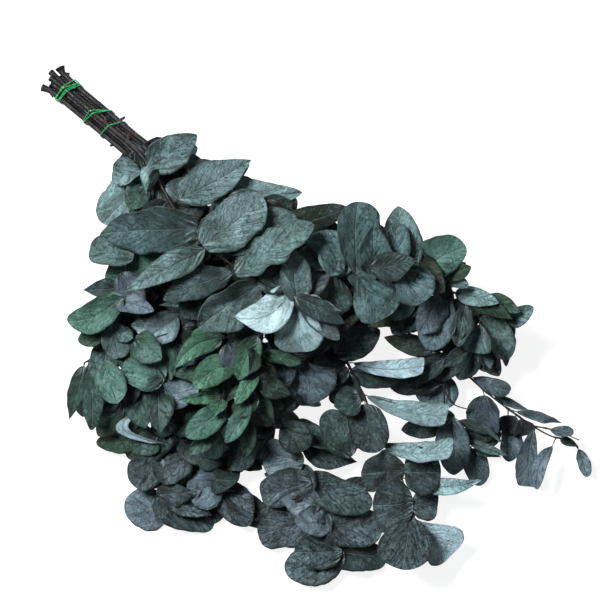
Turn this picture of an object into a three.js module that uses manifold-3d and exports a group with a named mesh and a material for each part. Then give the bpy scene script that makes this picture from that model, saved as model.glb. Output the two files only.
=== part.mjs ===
// A bunch of dried eucalyptus that lies on a surface: thirteen leafy stems held together by three thin
// green ties near their cut ends.
//
// Units are millimetres and +Z is up. The surface that the bunch lies on is z = 0. +X runs along the
// bunch from the cut ends to the leaf tips, and the origin is under the middle of the bunch's box.
//
// The bunch is laid out in plan, as it is seen from above: a plan point is [right, down, height], and
// toBunch turns the plan into the bunch's own axes. A leaf is a thin blade whose middle surface is a
// formula (bladePoint). Each leafy stem is one solid: its wood, its leaf stalks and its blades, fused.

import * as THREE from 'three';
import { mergeVertices } from 'three/addons/utils/BufferGeometryUtils.js';
import Module from 'manifold-3d';

const wasm = await Module();
wasm.setup();

// ---------------------------------------------------------------- driving sizes, millimetres

const PLAN_TURN = 50 * Math.PI / 180;      // the bunch's length points this far below the plan's right
const ORIGIN_PLAN = [255.5, 327];          // the plan point that becomes the origin

const STEM_RADIUS = 3.1;                   // in the handle
const TIP_RADIUS = 1;                      // at a stem's or twig's tip
const TWIG_RADIUS = 1.5;                   // where a twig leaves its stem
const STEM_PITCH = 6.6;                    // between the middles of two stems side by side
const STEM_SIDES = 6;
const TWIG_SIDES = 4;
const RING_SPACING = 42;                   // along a stem, between two rings of its faces
const WOOD_STEPS = 30;                     // points along the wood between two rings
const WOOD_ROOM = 0.8;                     // kept between the wood and the middle of a blade
const CUT_FLARE = 1.35;                    // how much the cut ends spread sideways past the first tie

const BLADE_THICKNESS = 0.8;
const BLADE_ROOT = 1.3;                    // half the width of a blade where it meets its stalk
const ROOT_OFFSET = 0.5;                   // from the middle of the wood to a leaf's root
const TABLE_CLEAR = BLADE_THICKNESS / 2;   // the lowest a blade's middle surface lies

const HANDLE_START = [61, 86, 14.7];       // the middle of the cut ends
const HANDLE_END = [148, 158.5, 43];       // the middle of the neck, where the stems spread

const TIE_RADIUS = 0.75;
const TIE_GAP = 0.5;                       // between a tie and the stems that it holds
const TIE_SIDES = 5;
const TIE_CROSSING_LIFT = 1.9;             // how far out one turn passes over the other

// ---------------------------------------------------------------- leaf outlines

// A blade's half width along its length u is (u / m)^a ((1 - u) / (1 - m))^b with m = a / (a + b).
const ROUND = [0.38, 0.4];
const OVAL = [0.52, 0.66];
const SPOON = [0.72, 0.42];
const LANCE = [0.6, 0.95];
const BLUNT = [0.55, 0.22];
const FAN = [1.1, 0.25];

// ---------------------------------------------------------------- the stems
//
// across, up: the stem's place in the handle's section, in half pitches and in rows
// cut: how far its cut end reaches past the handle's start
// route: plan points after the neck. twigs: plan routes whose first point lies on the stem.
// leaves: [base right, base down, tip right, tip down, rise, width, outline, form]. The base is taken to
// the nearest point of the wood. Form may hold roll, fold and twist in degrees, bow and bend as shares of
// the length, and still for the leaf that lies flat. fillers: seeded leaf pairs between two shares of the
// stem's line.

const STEMS = {
  stem_top: {
    across: 0, up: 2, cut: 12,
    route: [[164, 190, 66], [176, 212, 84], [194, 232, 98], [212, 250, 108], [241, 272, 114],
      [268, 287, 112], [298, 297, 106]],
    twigs: [],
    leaves: [
      [160, 162, 198, 136, 14, 38, OVAL, { roll: -10 }],
      [162, 166, 147, 192, -6, 24, OVAL, { fold: -45 }],
      [171, 205, 252, 161, 8, 42, LANCE, { fold: 18 }],
      [198, 226, 106, 234, -4, 47, ROUND, { bow: 0.12, fold: 8 }],
      [206, 245, 263, 198, 14, 43, ROUND, { fold: 15 }],
      [213, 250, 297, 219, 6, 33, OVAL, { roll: -20 }],
      [207, 252, 124, 293, -6, 30, LANCE, { roll: 25, fold: 20 }],
      [243, 270, 165, 300, -12, 32, LANCE, { roll: 25 }],
      [241, 272, 314, 226, 10, 34, OVAL, { roll: -15, fold: 20 }],
      [264, 282, 200, 328, -8, 44, OVAL, { fold: 10 }],
      [293, 289, 236, 317, -3, 34, OVAL, { bend: 0.16, roll: 10, fold: 14 }],
      [298, 298, 302, 351, -14, 43, SPOON, { bow: 0.16, fold: 12 }],
      [290, 281, 344, 323, -4, 20, OVAL, { roll: 20 }],
      [303, 284, 341, 311, 4, 14, LANCE, { roll: 55 }],
      [298, 290, 290, 248, -4, 28, OVAL, { fold: 18 }],
      [200, 243, 176, 257, -6, 13, LANCE, { fold: 20 }],
      [283, 289, 262, 258, -10, 24, OVAL, { fold: 14 }],
    ],
    fillers: null,
  },
  stem_high_right: {
    across: 3, up: 1, cut: 13,
    route: [[190, 172, 62], [222, 191, 76], [256, 204, 82], [286, 208, 80], [304, 217, 76]],
    twigs: [],
    leaves: [
      [178, 170, 204, 163, 4, 22, OVAL, { roll: -15 }],
      [215, 193, 302, 193, 6, 27, OVAL, { bend: -0.05, fold: 16 }],
      [275, 207, 293, 203, 3, 13, OVAL, { fold: 20 }],
      [222, 192, 262, 226, -10, 34, OVAL, { fold: 12 }],
      [250, 203, 292, 216, -8, 22, OVAL, { fold: 12 }],
    ],
    fillers: null,
  },
  stem_high_middle: {
    across: 1, up: 1, cut: 18,
    route: [[196, 200, 62], [244, 236, 78], [292, 262, 88], [334, 275, 94], [356, 272, 97], [378, 266, 97],
      [411, 265, 94], [436, 271, 88], [448, 283, 82]],
    twigs: [],
    leaves: [
      [356, 271, 357, 203, 12, 47, SPOON, { bow: 0.1, fold: 10 }],
      [340, 273, 334, 236, 10, 27, OVAL, { fold: 16 }],
      [342, 272, 303, 239, 6, 30, OVAL, { bend: -0.22 }],
      [393, 265, 396, 224, 10, 30, ROUND, { fold: 14 }],
      [409, 264, 397, 207, 0, 43, OVAL, { fold: 10 }],
      [420, 264, 464, 247, 2, 40, ROUND, { fold: 8 }],
      [443, 276, 469, 267, 2, 18, OVAL, { roll: 25 }],
      [446, 281, 467, 287, -4, 14, OVAL, { roll: -30 }],
      [356, 272, 380, 320, -10, 43, SPOON, { bow: 0.1, fold: 12 }],
      [379, 266, 407, 317, -4, 42, OVAL, { bow: 0.14, fold: 10 }],
      [411, 266, 443, 292, -6, 38, OVAL, { fold: 14 }],
      [375, 267, 386, 305, -14, 26, OVAL, { fold: -20 }],
      [334, 276, 300, 250, -8, 30, OVAL, { roll: 20 }],
      [334, 276, 320, 316, -16, 34, OVAL, { roll: -20 }],
      [262, 246, 348, 209, -4, 30, OVAL, { bow: 0.12, fold: -10 }],
      [396, 266, 422, 302, -12, 36, ROUND, { fold: 12 }],
      [372, 268, 372, 228, -6, 30, OVAL, { fold: 15 }],
      [362, 270, 414, 261, -12, 26, OVAL, { fold: 12 }],
    ],
    fillers: null,
  },
  stem_high_left: {
    across: -3, up: 1, cut: 14,
    route: [[143, 183, 57], [139, 214, 70], [130, 256, 76], [122, 299, 77], [115, 327, 72], [108, 344, 66]],
    twigs: [],
    leaves: [
      [146, 172, 113, 181, 4, 30, OVAL, { roll: 20 }],
      [150, 180, 102, 223, 8, 44, OVAL, { fold: 14 }],
      [129, 258, 91, 250, 2, 38, ROUND, { fold: 20 }],
      [126, 258, 107, 238, 12, 16, LANCE, { fold: 15 }],
      [121, 299, 69, 321, -2, 34, OVAL, { bend: 0.1, fold: 16 }],
      [119, 308, 76, 329, -14, 22, LANCE, { roll: 20 }],
      [121, 299, 156, 311, 6, 22, OVAL, { fold: 14 }],
      [115, 328, 79, 341, -8, 24, OVAL, { roll: 15 }],
      [113, 327, 134, 338, -2, 20, OVAL, { fold: -25 }],
      [123, 288, 84, 290, -8, 20, LANCE, { roll: 10 }],
      [135, 236, 112, 258, -14, 26, OVAL, { fold: 10 }],
    ],
    fillers: null,
  },
  stem_green: {
    across: -1, up: 1, cut: 9,
    route: [[172, 212, 58], [198, 262, 74], [230, 303, 82], [258, 333, 82], [263, 362, 78], [256, 392, 74],
      [247, 412, 70]],
    twigs: [
      [[206, 274, 77], [224, 308, 74], [233, 343, 74], [226, 382, 70], [221, 412, 66], [216, 432, 62]],
    ],
    leaves: [
      [190, 254, 106, 281, 2, 34, OVAL, { fold: 14 }],
      [228, 338, 192, 334, 4, 19, OVAL, { fold: 20 }],
      [231, 337, 176, 367, -4, 23, LANCE, { bend: -0.12, fold: 20 }],
      [264, 332, 233, 334, 4, 26, ROUND, { fold: 14 }],
      [256, 344, 229, 353, -4, 22, ROUND, { fold: 8 }],
      [260, 338, 239, 379, -2, 23, OVAL, { fold: 18 }],
      [263, 345, 251, 372, -4, 18, OVAL, { fold: 18 }],
      [234, 364, 195, 387, -2, 27, OVAL, { bend: -0.1, fold: 14 }],
      [264, 370, 236, 403, -2, 17, OVAL, { roll: 30 }],
      [221, 393, 179, 400, 0, 13, LANCE, { roll: -20 }],
      [222, 412, 187, 436, -2, 25, OVAL, { fold: 16 }],
      [252, 398, 226, 442, -4, 21, OVAL, { fold: 20 }],
      [217, 430, 209, 458, -6, 26, SPOON, { fold: -22 }],
      [248, 411, 246, 456, -8, 17, OVAL, { fold: 24 }],
      [236, 400, 214, 416, 2, 17, OVAL, { fold: 15 }],
      [224, 404, 236, 380, -6, 20, OVAL, { fold: 14 }],
      [262, 372, 262, 426, -14, 30, SPOON, { fold: 14 }],
      [214, 434, 190, 454, -8, 19, OVAL, { fold: 14 }],
      [228, 372, 170, 373, -10, 20, LANCE, { fold: -14 }],
      [192, 306, 160, 305, 2, 9, LANCE, { roll: 20 }],
      [216, 290, 182, 316, -8, 26, OVAL, { fold: 14 }],
    ],
    fillers: { from: 0.3, to: 0.98, step: 40, length: [34, 50], width: [16, 26] },
  },
  stem_right: {
    across: 2, up: 0, cut: 7,
    route: [[212, 196, 52], [284, 240, 60], [360, 268, 64], [424, 284, 68], [455, 293, 68], [482, 302, 64],
      [502, 314, 58], [508, 326, 52]],
    twigs: [
      [[482, 302, 64], [483, 326, 52], [478, 346, 42], [468, 362, 34]],
    ],
    leaves: [
      [449, 292, 428, 349, -8, 34, SPOON, { bow: 0.12, fold: 10 }],
      [473, 314, 442, 357, -12, 19, OVAL, { roll: 20 }],
      [481, 318, 472, 352, -12, 34, OVAL, { fold: 36 }],
      [484, 330, 462, 344, -2, 12, LANCE, { bow: 0.25, roll: 40 }],
      [477, 347, 442, 366, -6, 17, LANCE, { fold: 25 }],
      [471, 356, 459, 380, -6, 28, OVAL, { fold: 12 }],
      [478, 344, 487, 372, -4, 20, OVAL, { fold: 12 }],
      [452, 292, 497, 303, 4, 20, OVAL, { roll: -15 }],
      [480, 299, 519, 312, 0, 20, OVAL, { bend: 0.08 }],
      [463, 298, 511, 319, -6, 19, LANCE, { fold: 14 }],
      [505, 322, 532, 307, 6, 21, OVAL, { fold: 18 }],
      [494, 312, 506, 360, -16, 27, OVAL, { fold: 14 }],
      [500, 338, 491, 367, -6, 12, BLUNT, { fold: 14 }],
      [504, 340, 507, 367, -6, 11, OVAL, { fold: 14 }],
      [457, 294, 463, 334, -18, 26, OVAL, { fold: -12 }],
      [436, 288, 368, 326, -10, 28, LANCE, { fold: 14 }],
      [432, 288, 392, 334, -14, 26, OVAL, { fold: 14 }],
      [372, 272, 336, 333, -4, 24, OVAL, { fold: 14 }],
      [384, 276, 372, 331, -6, 20, OVAL, { roll: 20 }],
    ],
    fillers: { from: 0.34, to: 0.86, step: 40, length: [44, 58], width: [26, 38] },
  },
  stem_middle: {
    across: 0, up: 0, cut: 15,
    route: [[178, 208, 52], [214, 270, 56], [262, 322, 56], [300, 362, 50], [322, 392, 42]],
    twigs: [],
    leaves: [
      [318, 338, 320, 401, -8, 48, SPOON, { fold: 10 }],
    ],
    fillers: { from: 0.3, to: 0.97, step: 38, length: [42, 58], width: [24, 38] },
  },
  stem_left: {
    across: -2, up: 0, cut: 10,
    route: [[154, 212, 48], [166, 264, 54], [184, 308, 58], [188, 334, 58], [174, 354, 56], [165, 380, 52],
      [157, 404, 46]],
    twigs: [
      [[166, 264, 54], [150, 300, 52], [126, 330, 50], [104, 352, 44], [84, 363, 38]],
      [[165, 380, 52], [146, 389, 46], [124, 400, 38]],
    ],
    leaves: [
      [172, 325, 131, 325, 4, 19, OVAL, { fold: 12 }],
      [188, 327, 163, 326, 4, 26, ROUND, { fold: 12 }],
      [188, 330, 198, 308, 2, 21, ROUND, { fold: 12 }],
      [165, 378, 142, 339, 6, 45, ROUND, { fold: 8 }],
      [163, 382, 126, 360, -4, 38, ROUND, { fold: 12 }],
      [108, 346, 103, 374, 0, 29, ROUND, { fold: 12 }],
      [98, 379, 122, 366, 2, 12, LANCE, { fold: 16 }],
      [82, 358, 69, 420, -14, 19, LANCE, { bend: 0.02, twist: 30 }],
      [88, 360, 92, 430, -14, 23, OVAL, { fold: 20 }],
      [102, 354, 118, 403, -8, 28, OVAL, { fold: 14 }],
      [150, 366, 141, 390, -4, 11, LANCE, { fold: 14 }],
      [124, 400, 108, 431, -8, 27, OVAL, { fold: 16 }],
      [160, 397, 200, 387, 6, 27, OVAL, { fold: 14 }],
      [158, 404, 158, 443, -6, 15, BLUNT, { bend: -0.75, fold: 10 }],
      [140, 392, 146, 428, -12, 26, OVAL, { fold: 14 }],
      [151, 298, 124, 289, 4, 22, OVAL, { fold: 14 }],
      [140, 314, 120, 306, -3, 20, OVAL, { fold: 14 }],
      [124, 400, 130, 366, -4, 24, OVAL, { fold: 14 }],
    ],
    fillers: { from: 0.3, to: 0.9, step: 46, length: [38, 52], width: [22, 34] },
  },
  stem_low_right: {
    across: 3, up: -1, cut: 8,
    route: [[218, 206, 38], [300, 262, 40], [380, 316, 38], [440, 352, 34], [462, 369, 30], [483, 390, 24],
      [511, 411, 19], [534, 427, 15], [556, 440, 12], [568, 438, 10], [580, 449, 7]],
    twigs: [
      [[440, 352, 34], [446, 384, 26], [443, 420, 20], [462, 440, 15], [481, 457, 11]],
      [[446, 384, 26], [450, 406, 22], [471, 410, 18]],
      [[534, 427, 15], [556, 430, 12], [581, 441, 8]],
    ],
    leaves: [
      [475, 367, 511, 391, -6, 18, SPOON, { fold: 12 }],
      [482, 391, 491, 436, -12, 36, ROUND, { fold: 16 }],
      [488, 391, 531, 411, -4, 8, LANCE, { roll: 35 }],
      [508, 411, 511, 463, -12, 26, OVAL, { fold: 20 }],
      [511, 409, 564, 424, -4, 10, LANCE, { roll: 35 }],
      [535, 428, 532, 488, -10, 25, BLUNT, { fold: 14 }],
      [548, 428, 574, 434, 1, 13, SPOON, { fold: 12 }],
      [557, 440, 537, 490, -8, 16, OVAL, { bend: -0.1, fold: 18 }],
      [581, 450, 589, 478, -4, 14, SPOON, { fold: 12 }],
      [560, 440, 580, 447, 3, 10, LANCE, { bow: 0.2, fold: 20 }],
      [450, 364, 428, 407, -8, 44, ROUND, { fold: 10 }],
      [442, 360, 401, 384, -4, 28, OVAL, { fold: 14 }],
      [446, 422, 455, 476, -6, 36, OVAL, { fold: 12 }],
      [443, 420, 402, 431, -6, 28, OVAL, { fold: 12 }],
      [443, 423, 506, 446, -2, 10, LANCE, { bend: 0.08, roll: 20 }],
      [463, 440, 508, 456, 2, 10, LANCE, { fold: 14 }],
      [473, 451, 503, 458, 1, 8, LANCE, { fold: 14 }],
      [475, 452, 481, 487, -6, 28, ROUND, { fold: 14 }],
      [440, 352, 384, 337, 2, 22, LANCE, { fold: -12 }],
    ],
    fillers: { from: 0.2, to: 0.66, step: 40, length: [46, 60], width: [28, 40] },
  },
  stem_low_middle: {
    across: 1, up: -1, cut: 4,
    route: [[204, 218, 38], [262, 276, 40], [312, 322, 42], [340, 346, 42], [353, 375, 40], [366, 397, 38],
      [380, 441, 35], [400, 466, 31], [408, 500, 26], [415, 538, 19]],
    twigs: [
      [[380, 441, 35], [362, 447, 28], [344, 453, 22]],
    ],
    leaves: [
      [344, 364, 424, 366, 12, 21, BLUNT, { roll: -30 }],
      [362, 395, 447, 416, 12, 25, BLUNT, { roll: -28 }],
      [374, 443, 452, 450, 12, 24, BLUNT, { roll: -24 }],
      [410, 515, 452, 556, 12, 46, FAN, { fold: 14 }],
      [402, 477, 482, 480, 12, 18, LANCE, { bend: -0.12, twist: 30 }],
      [364, 396, 374, 453, -8, 48, ROUND, { fold: 12 }],
      [402, 469, 361, 474, -5, 54, ROUND, { fold: 10 }],
      [402, 470, 441, 472, -7, 50, ROUND, { fold: 10 }],
      [409, 503, 373, 506, -5, 44, ROUND, { fold: 8 }],
      [409, 504, 438, 508, -8, 38, ROUND, { fold: 12 }],
      [410, 517, 402, 569, -6, 54, SPOON, { fold: 10 }],
      [352, 372, 402, 379, -6, 28, OVAL, { fold: 12 }],
      [342, 348, 380, 330, -4, 34, OVAL, { fold: 12 }],
      [350, 366, 346, 404, -8, 27, SPOON, { fold: 12 }],
      [366, 396, 334, 406, -12, 28, OVAL, { fold: 12 }],
      [408, 506, 378, 532, -4, 32, OVAL, { fold: 12 }],
      [344, 440, 326, 411, 6, 35, ROUND, { fold: 10 }],
    ],
    fillers: { from: 0.2, to: 0.8, step: 40, length: [44, 58], width: [26, 40] },
  },
  stem_low: {
    across: -1, up: -1, cut: 12,
    route: [[184, 220, 36], [222, 290, 40], [256, 332, 42], [269, 374, 42], [280, 400, 36], [288, 420, 30],
      [290, 436, 27], [299, 462, 24], [309, 486, 21], [321, 506, 19], [327, 528, 17], [338, 555, 13]],
    twigs: [
      [[284, 410, 33], [258, 443, 26], [236, 459, 18]],
    ],
    leaves: [
      [267, 349, 292, 366, 4, 16, LANCE, { roll: 45 }],
      [273, 379, 321, 406, 0, 19, OVAL, { roll: 45 }],
      [266, 344, 290, 342, 4, 9, LANCE, { roll: 20 }],
      [299, 461, 264, 453, 4, 36, ROUND, { fold: 12 }],
      [307, 481, 264, 475, -4, 22, OVAL, { roll: 20 }],
      [307, 484, 261, 497, -6, 37, ROUND, { fold: 12 }],
      [310, 482, 372, 507, -6, 38, ROUND, { bend: -0.03, fold: 12 }],
      [315, 494, 362, 500, 2, 30, OVAL, { fold: 10 }],
      [320, 505, 282, 498, 5, 28, OVAL, { fold: 12 }],
      [325, 520, 258, 537, -4, 45, ROUND, { fold: 10 }],
      [328, 522, 383, 530, -2, 37, ROUND, { fold: 10 }],
      [337, 554, 285, 573, -6, 44, ROUND, { fold: 8 }],
      [336, 552, 294, 553, 4, 34, OVAL, { fold: 14 }],
      [340, 556, 387, 561, -4, 33, ROUND, { fold: 8 }],
      [325, 526, 295, 520, 8, 27, ROUND, { fold: 12 }],
      [290, 421, 338, 452, 0, 25, LANCE, { fold: 18 }],
      [293, 442, 358, 463, -6, 26, LANCE, { fold: 14 }],
      [236, 459, 262, 470, -6, 20, OVAL, { fold: 14 }],
      [258, 443, 270, 415, -6, 26, OVAL, { fold: 14 }],
      [268, 431, 250, 414, -4, 24, OVAL, { fold: 14 }],
      [250, 449, 228, 470, -6, 26, OVAL, { fold: 14 }],
      [284, 404, 296, 392, 2, 22, ROUND, { fold: 12 }],
    ],
    fillers: { from: 0.2, to: 0.62, step: 44, length: [40, 56], width: [24, 38] },
  },
  stem_low_left: {
    across: -3, up: -1, cut: 6,
    route: [[162, 214, 34], [168, 290, 34], [166, 350, 30], [162, 400, 25], [157, 440, 19], [156, 466, 14],
      [160, 494, 7], [163, 512, 1.5]],
    twigs: [
      [[162, 400, 25], [178, 440, 20], [204, 470, 14], [219, 490, 9]],
    ],
    leaves: [
      [163, 512, 123, 505, -1, 43, ROUND, { still: true }],
      [163, 513, 213, 528, 4, 34, ROUND, { fold: 14 }],
      [157, 462, 134, 488, -4, 37, ROUND, { fold: 10 }],
      [157, 460, 190, 478, 2, 32, ROUND, { fold: 12 }],
      [216, 484, 188, 496, 4, 37, ROUND, { fold: 12 }],
      [216, 485, 173, 492, -4, 28, OVAL, { fold: 10 }],
      [219, 490, 249, 527, -4, 37, OVAL, { fold: 12 }],
      [212, 478, 238, 480, 2, 22, OVAL, { fold: 14 }],
      [165, 508, 212, 516, -2, 12, LANCE, { fold: 14 }],
      [157, 438, 95, 444, -8, 26, OVAL, { fold: 12 }],
      [158, 434, 132, 452, -14, 26, OVAL, { fold: 12 }],
      [160, 436, 164, 464, 6, 40, ROUND, { bow: 0.2, fold: -12 }],
      [170, 422, 152, 414, 4, 30, ROUND, { fold: 12 }],
      [176, 436, 184, 410, 0, 28, OVAL, { fold: 12 }],
      [192, 458, 222, 464, -2, 20, OVAL, { fold: 12 }],
      [202, 468, 206, 438, -4, 26, OVAL, { fold: 14 }],
      [160, 496, 192, 492, -3, 26, OVAL, { fold: 12 }],
    ],
    fillers: { from: 0.28, to: 0.8, step: 40, length: [38, 52], width: [24, 36] },
  },
  stem_under: {
    across: 0, up: -2, cut: 3,
    route: [[188, 226, 22], [216, 290, 20], [238, 350, 18], [240, 410, 15], [222, 452, 11]],
    twigs: [
      [[216, 290, 20], [256, 340, 18], [300, 372, 16], [336, 388, 14]],
    ],
    leaves: [],
    fillers: { from: 0.26, to: 0.99, step: 38, length: [44, 58], width: [28, 42] },
  },
};

// ---------------------------------------------------------------- the leaf cover in plan

// The bunch's outline as seen from above. Filler leaves stay inside it.
const COVER = [
  [140, 176], [116, 186], [100, 214], [106, 232], [92, 252], [108, 272], [122, 286], [84, 292], [70, 318],
  [80, 340], [84, 362], [72, 416], [96, 430], [96, 446], [132, 454], [130, 486], [126, 522], [180, 534],
  [222, 518], [250, 526], [250, 500], [262, 474], [262, 500], [262, 538], [286, 574], [340, 572],
  [386, 560], [430, 556], [446, 520], [440, 480], [462, 470], [450, 410], [452, 384], [486, 352],
  [508, 352], [526, 306], [500, 296], [462, 286], [462, 250], [424, 242], [402, 210], [386, 224],
  [357, 205], [300, 222], [296, 194], [250, 200], [246, 166], [200, 164], [180, 140], [156, 158],
];

// Places inside the outline that filler leaves keep clear of: the surface shows there, or one of the
// leaves above is seen whole. [right, down, radius].
const CLEARINGS = [
  [395, 346, 11], [432, 354, 6], [312, 412, 14], [283, 433, 9], [334, 442, 7], [350, 452, 8],
  [366, 462, 5], [330, 466, 8], [400, 428, 5], [372, 500, 4], [446, 468, 6], [252, 486, 9],
  [190, 514, 6], [468, 392, 12], [462, 428, 10], [100, 432, 4], [480, 366, 6], [385, 400, 9],
  [405, 404, 10], [425, 410, 10], [428, 388, 14], [398, 436, 8], [404, 546, 14], [358, 366, 7],
  [378, 367, 9], [398, 366, 9], [415, 365, 8],
];

// ---------------------------------------------------------------- small helpers

const cosTurn = Math.cos(PLAN_TURN);
const sinTurn = Math.sin(PLAN_TURN);
const UP = new THREE.Vector3(0, 0, 1);

function toBunch([right, down, height]) {
  const dx = right - ORIGIN_PLAN[0];
  const dy = down - ORIGIN_PLAN[1];
  return new THREE.Vector3(cosTurn * dx + sinTurn * dy, sinTurn * dx - cosTurn * dy, height);
}

function toPlan(point) {
  return [
    ORIGIN_PLAN[0] + cosTurn * point.x + sinTurn * point.y,
    ORIGIN_PLAN[1] + sinTurn * point.x - cosTurn * point.y,
  ];
}

const LEAF_SEED = 17;
const FILLER_SEED = 101;

// The same draws each time: a Lehmer generator.
function makeDraw(seed) {
  let state = seed * 48271;
  return () => {
    state = (state * 16807) % 2147483647;
    return state / 2147483647;
  };
}

const between = ([low, high], share) => low + (high - low) * share;

// ---------------------------------------------------------------- wood

// A stem's line: a cubic B-spline, which never swings past its points.
class Shoot extends THREE.Curve {
  constructor(points) {
    super();
    const last = points.length - 1;
    const before = points[0].clone().multiplyScalar(2).sub(points[1]);
    const after = points[last].clone().multiplyScalar(2).sub(points[last - 1]);
    this.points = [before, ...points, after];
    this.spans = last;
  }

  getPoint(share) {
    const along = Math.min(share, 1) * this.spans;
    const index = Math.min(Math.floor(along), this.spans - 1);
    const t = along - index;
    const weights = [
      (1 - t) ** 3 / 6,
      (3 * t ** 3 - 6 * t ** 2 + 4) / 6,
      (-3 * t ** 3 + 3 * t ** 2 + 3 * t + 1) / 6,
      t ** 3 / 6,
    ];
    const point = new THREE.Vector3();
    weights.forEach((weight, k) => point.addScaledVector(this.points[index + k], weight));
    return point;
  }
}

const handleStart = toBunch(HANDLE_START);
const handleEnd = toBunch(HANDLE_END);
const handleAlong = handleEnd.clone().sub(handleStart).normalize();
const handleAcross = handleAlong.clone().cross(UP).negate().normalize();
const handleUp = handleAlong.clone().cross(handleAcross).normalize();

// A point of the handle: a distance along it from its start, then across and up in its section.
function handlePoint(along, across, up) {
  return handleStart.clone()
    .addScaledVector(handleAlong, along)
    .addScaledVector(handleAcross, across)
    .addScaledVector(handleUp, up);
}

const handleLength = handleStart.distanceTo(handleEnd);
const HANDLE_PLACES = [-5, 10, 0.66 * handleLength, handleLength];
const HANDLE_RINGS = [0, 1, 1.6, 3.2, 4];   // where the stems have rings in the handle, in spans
const HANDLE_SPANS = 4;
const rowHeight = STEM_PITCH * Math.sqrt(3) / 2;

function stemLine(stem) {
  const across = stem.across * STEM_PITCH / 2;
  const up = stem.up * rowHeight;
  const cutEnd = handlePoint(-stem.cut, across * CUT_FLARE, up);
  const handle = HANDLE_PLACES.map((along) => handlePoint(along, across, up));
  return new Shoot([cutEnd, ...handle, ...stem.route.map(toBunch)]);
}

// Wood is straight from ring to ring: its ring points and the radius at each of them.
function wood(line, shares, radiusAt) {
  return { line, rings: shares.map((share) => line.getPoint(share)), radii: shares.map(radiusAt) };
}

// A stem has a few rings in the handle, then even ones to its tip.
function stemWood(stem) {
  const line = stemLine(stem);
  const neck = HANDLE_SPANS / line.spans;
  const count = Math.ceil(line.getLength() * (1 - neck) / RING_SPACING);
  const beyond = Array.from({ length: count }, (_, k) => neck + (1 - neck) * (k + 1) / count);
  return wood(line, [...HANDLE_RINGS.map((span) => span / line.spans), ...beyond], stemRadius(line));
}

// A twig starts in the middle of the wood that it grows from.
function twigWood([first, ...route], woods) {
  const line = new Shoot([nearestWood(woods, first), ...route.map(toBunch)]);
  const count = Math.ceil(line.getLength() / RING_SPACING);
  return wood(line, Array.from({ length: count + 1 }, (_, k) => k / count), twigRadius);
}

// A closed tube round the ring points.
function tube({ rings: points, radii }, sides) {
  const positions = [];
  const faces = [];
  const rings = points.length - 1;
  points.forEach((point, ring) => {
    const next = points[Math.min(ring + 1, rings)];
    const previous = points[Math.max(ring - 1, 0)];
    const along = next.clone().sub(previous).normalize();
    const side = UP.clone().cross(along).normalize();
    const over = along.clone().cross(side);
    const radius = radii[ring];
    for (let k = 0; k < sides; k++) {
      const angle = 2 * Math.PI * k / sides;
      const rim = point.clone()
        .addScaledVector(side, radius * Math.cos(angle))
        .addScaledVector(over, radius * Math.sin(angle));
      positions.push(rim.x, rim.y, Math.max(rim.z, 0));
    }
  });
  for (let ring = 0; ring < rings; ring++) {
    for (let k = 0; k < sides; k++) {
      const a = ring * sides + k;
      const b = ring * sides + (k + 1) % sides;
      faces.push(a, b, b + sides, a, b + sides, a + sides);
    }
  }
  const end = rings * sides;
  for (let k = 1; k < sides - 1; k++) {
    faces.push(0, k + 1, k);
    faces.push(end, end + k, end + k + 1);
  }
  return { positions, faces };
}

// A stem keeps its radius up to the neck and then tapers to its tip.
function stemRadius(line) {
  const neck = HANDLE_SPANS / line.spans;
  return (share) => {
    const left = Math.min((1 - share) / (1 - neck), 1);
    return TIP_RADIUS + (STEM_RADIUS - TIP_RADIUS) * left;
  };
}

function twigRadius(share) {
  return TWIG_RADIUS + (TIP_RADIUS - TWIG_RADIUS) * share;
}

// The point of the stem or its twigs that is nearest a plan point.
function nearestWood(woods, planPoint) {
  const goal = toBunch([planPoint[0], planPoint[1], 0]);
  let best = null;
  let bestDistance = Infinity;
  for (const { point } of woods.flatMap(alongWood)) {
    const distance = Math.hypot(point.x - goal.x, point.y - goal.y);
    if (distance < bestDistance - 1e-6) {
      bestDistance = distance;
      best = point;
    }
  }
  return best;
}

// Closely spaced points along the middle of the wood, up to just before its end, and the room round them.
function alongWood({ rings, radii }) {
  const samples = [];
  for (let k = 1; k < rings.length; k++) {
    for (let step = 0; step < WOOD_STEPS; step++) {
      const share = step / WOOD_STEPS;
      const radius = radii[k - 1] + (radii[k] - radii[k - 1]) * share;
      samples.push({ point: rings[k - 1].clone().lerp(rings[k], share), margin: radius + WOOD_ROOM });
    }
  }
  return samples;
}

// ---------------------------------------------------------------- leaves

const TIP_VARIES = [-14, 12];              // in millimetres
const ROLL_VARIES = [-24, 24];             // in degrees
const FORM = { roll: 0, fold: 12, bow: 0.08, bend: 0, twist: 0 };
const DEGREE = Math.PI / 180;

// A leaf: its root in the wood, its blade's base and tip, and its form.
function makeLeaf(joint, tip, width, outline, form) {
  const ahead = tip.clone().sub(joint).setLength(ROOT_OFFSET);
  const root = joint.clone().add(ahead);
  return { root, base: root.clone(), tip, width, outline, ...FORM, ...form };
}

// A leaf of the lists above. Its tip and its roll vary a little, and its width makes up for the roll.
function leafOf(woods, [baseRight, baseDown, tipRight, tipDown, rise, width, outline, form], draw) {
  const joint = nearestWood(woods, [baseRight, baseDown]);
  const vary = form.still ? 0 : 1;
  const tipHeight = joint.z + rise + vary * between(TIP_VARIES, draw());
  const tip = toBunch([tipRight, tipDown, Math.max(tipHeight, TABLE_CLEAR)]);
  const roll = (form.roll ?? 0) + vary * between(ROLL_VARIES, draw());
  return makeLeaf(joint, tip, width / Math.sqrt(Math.cos(roll * DEGREE)), outline, { ...form, roll });
}

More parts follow.
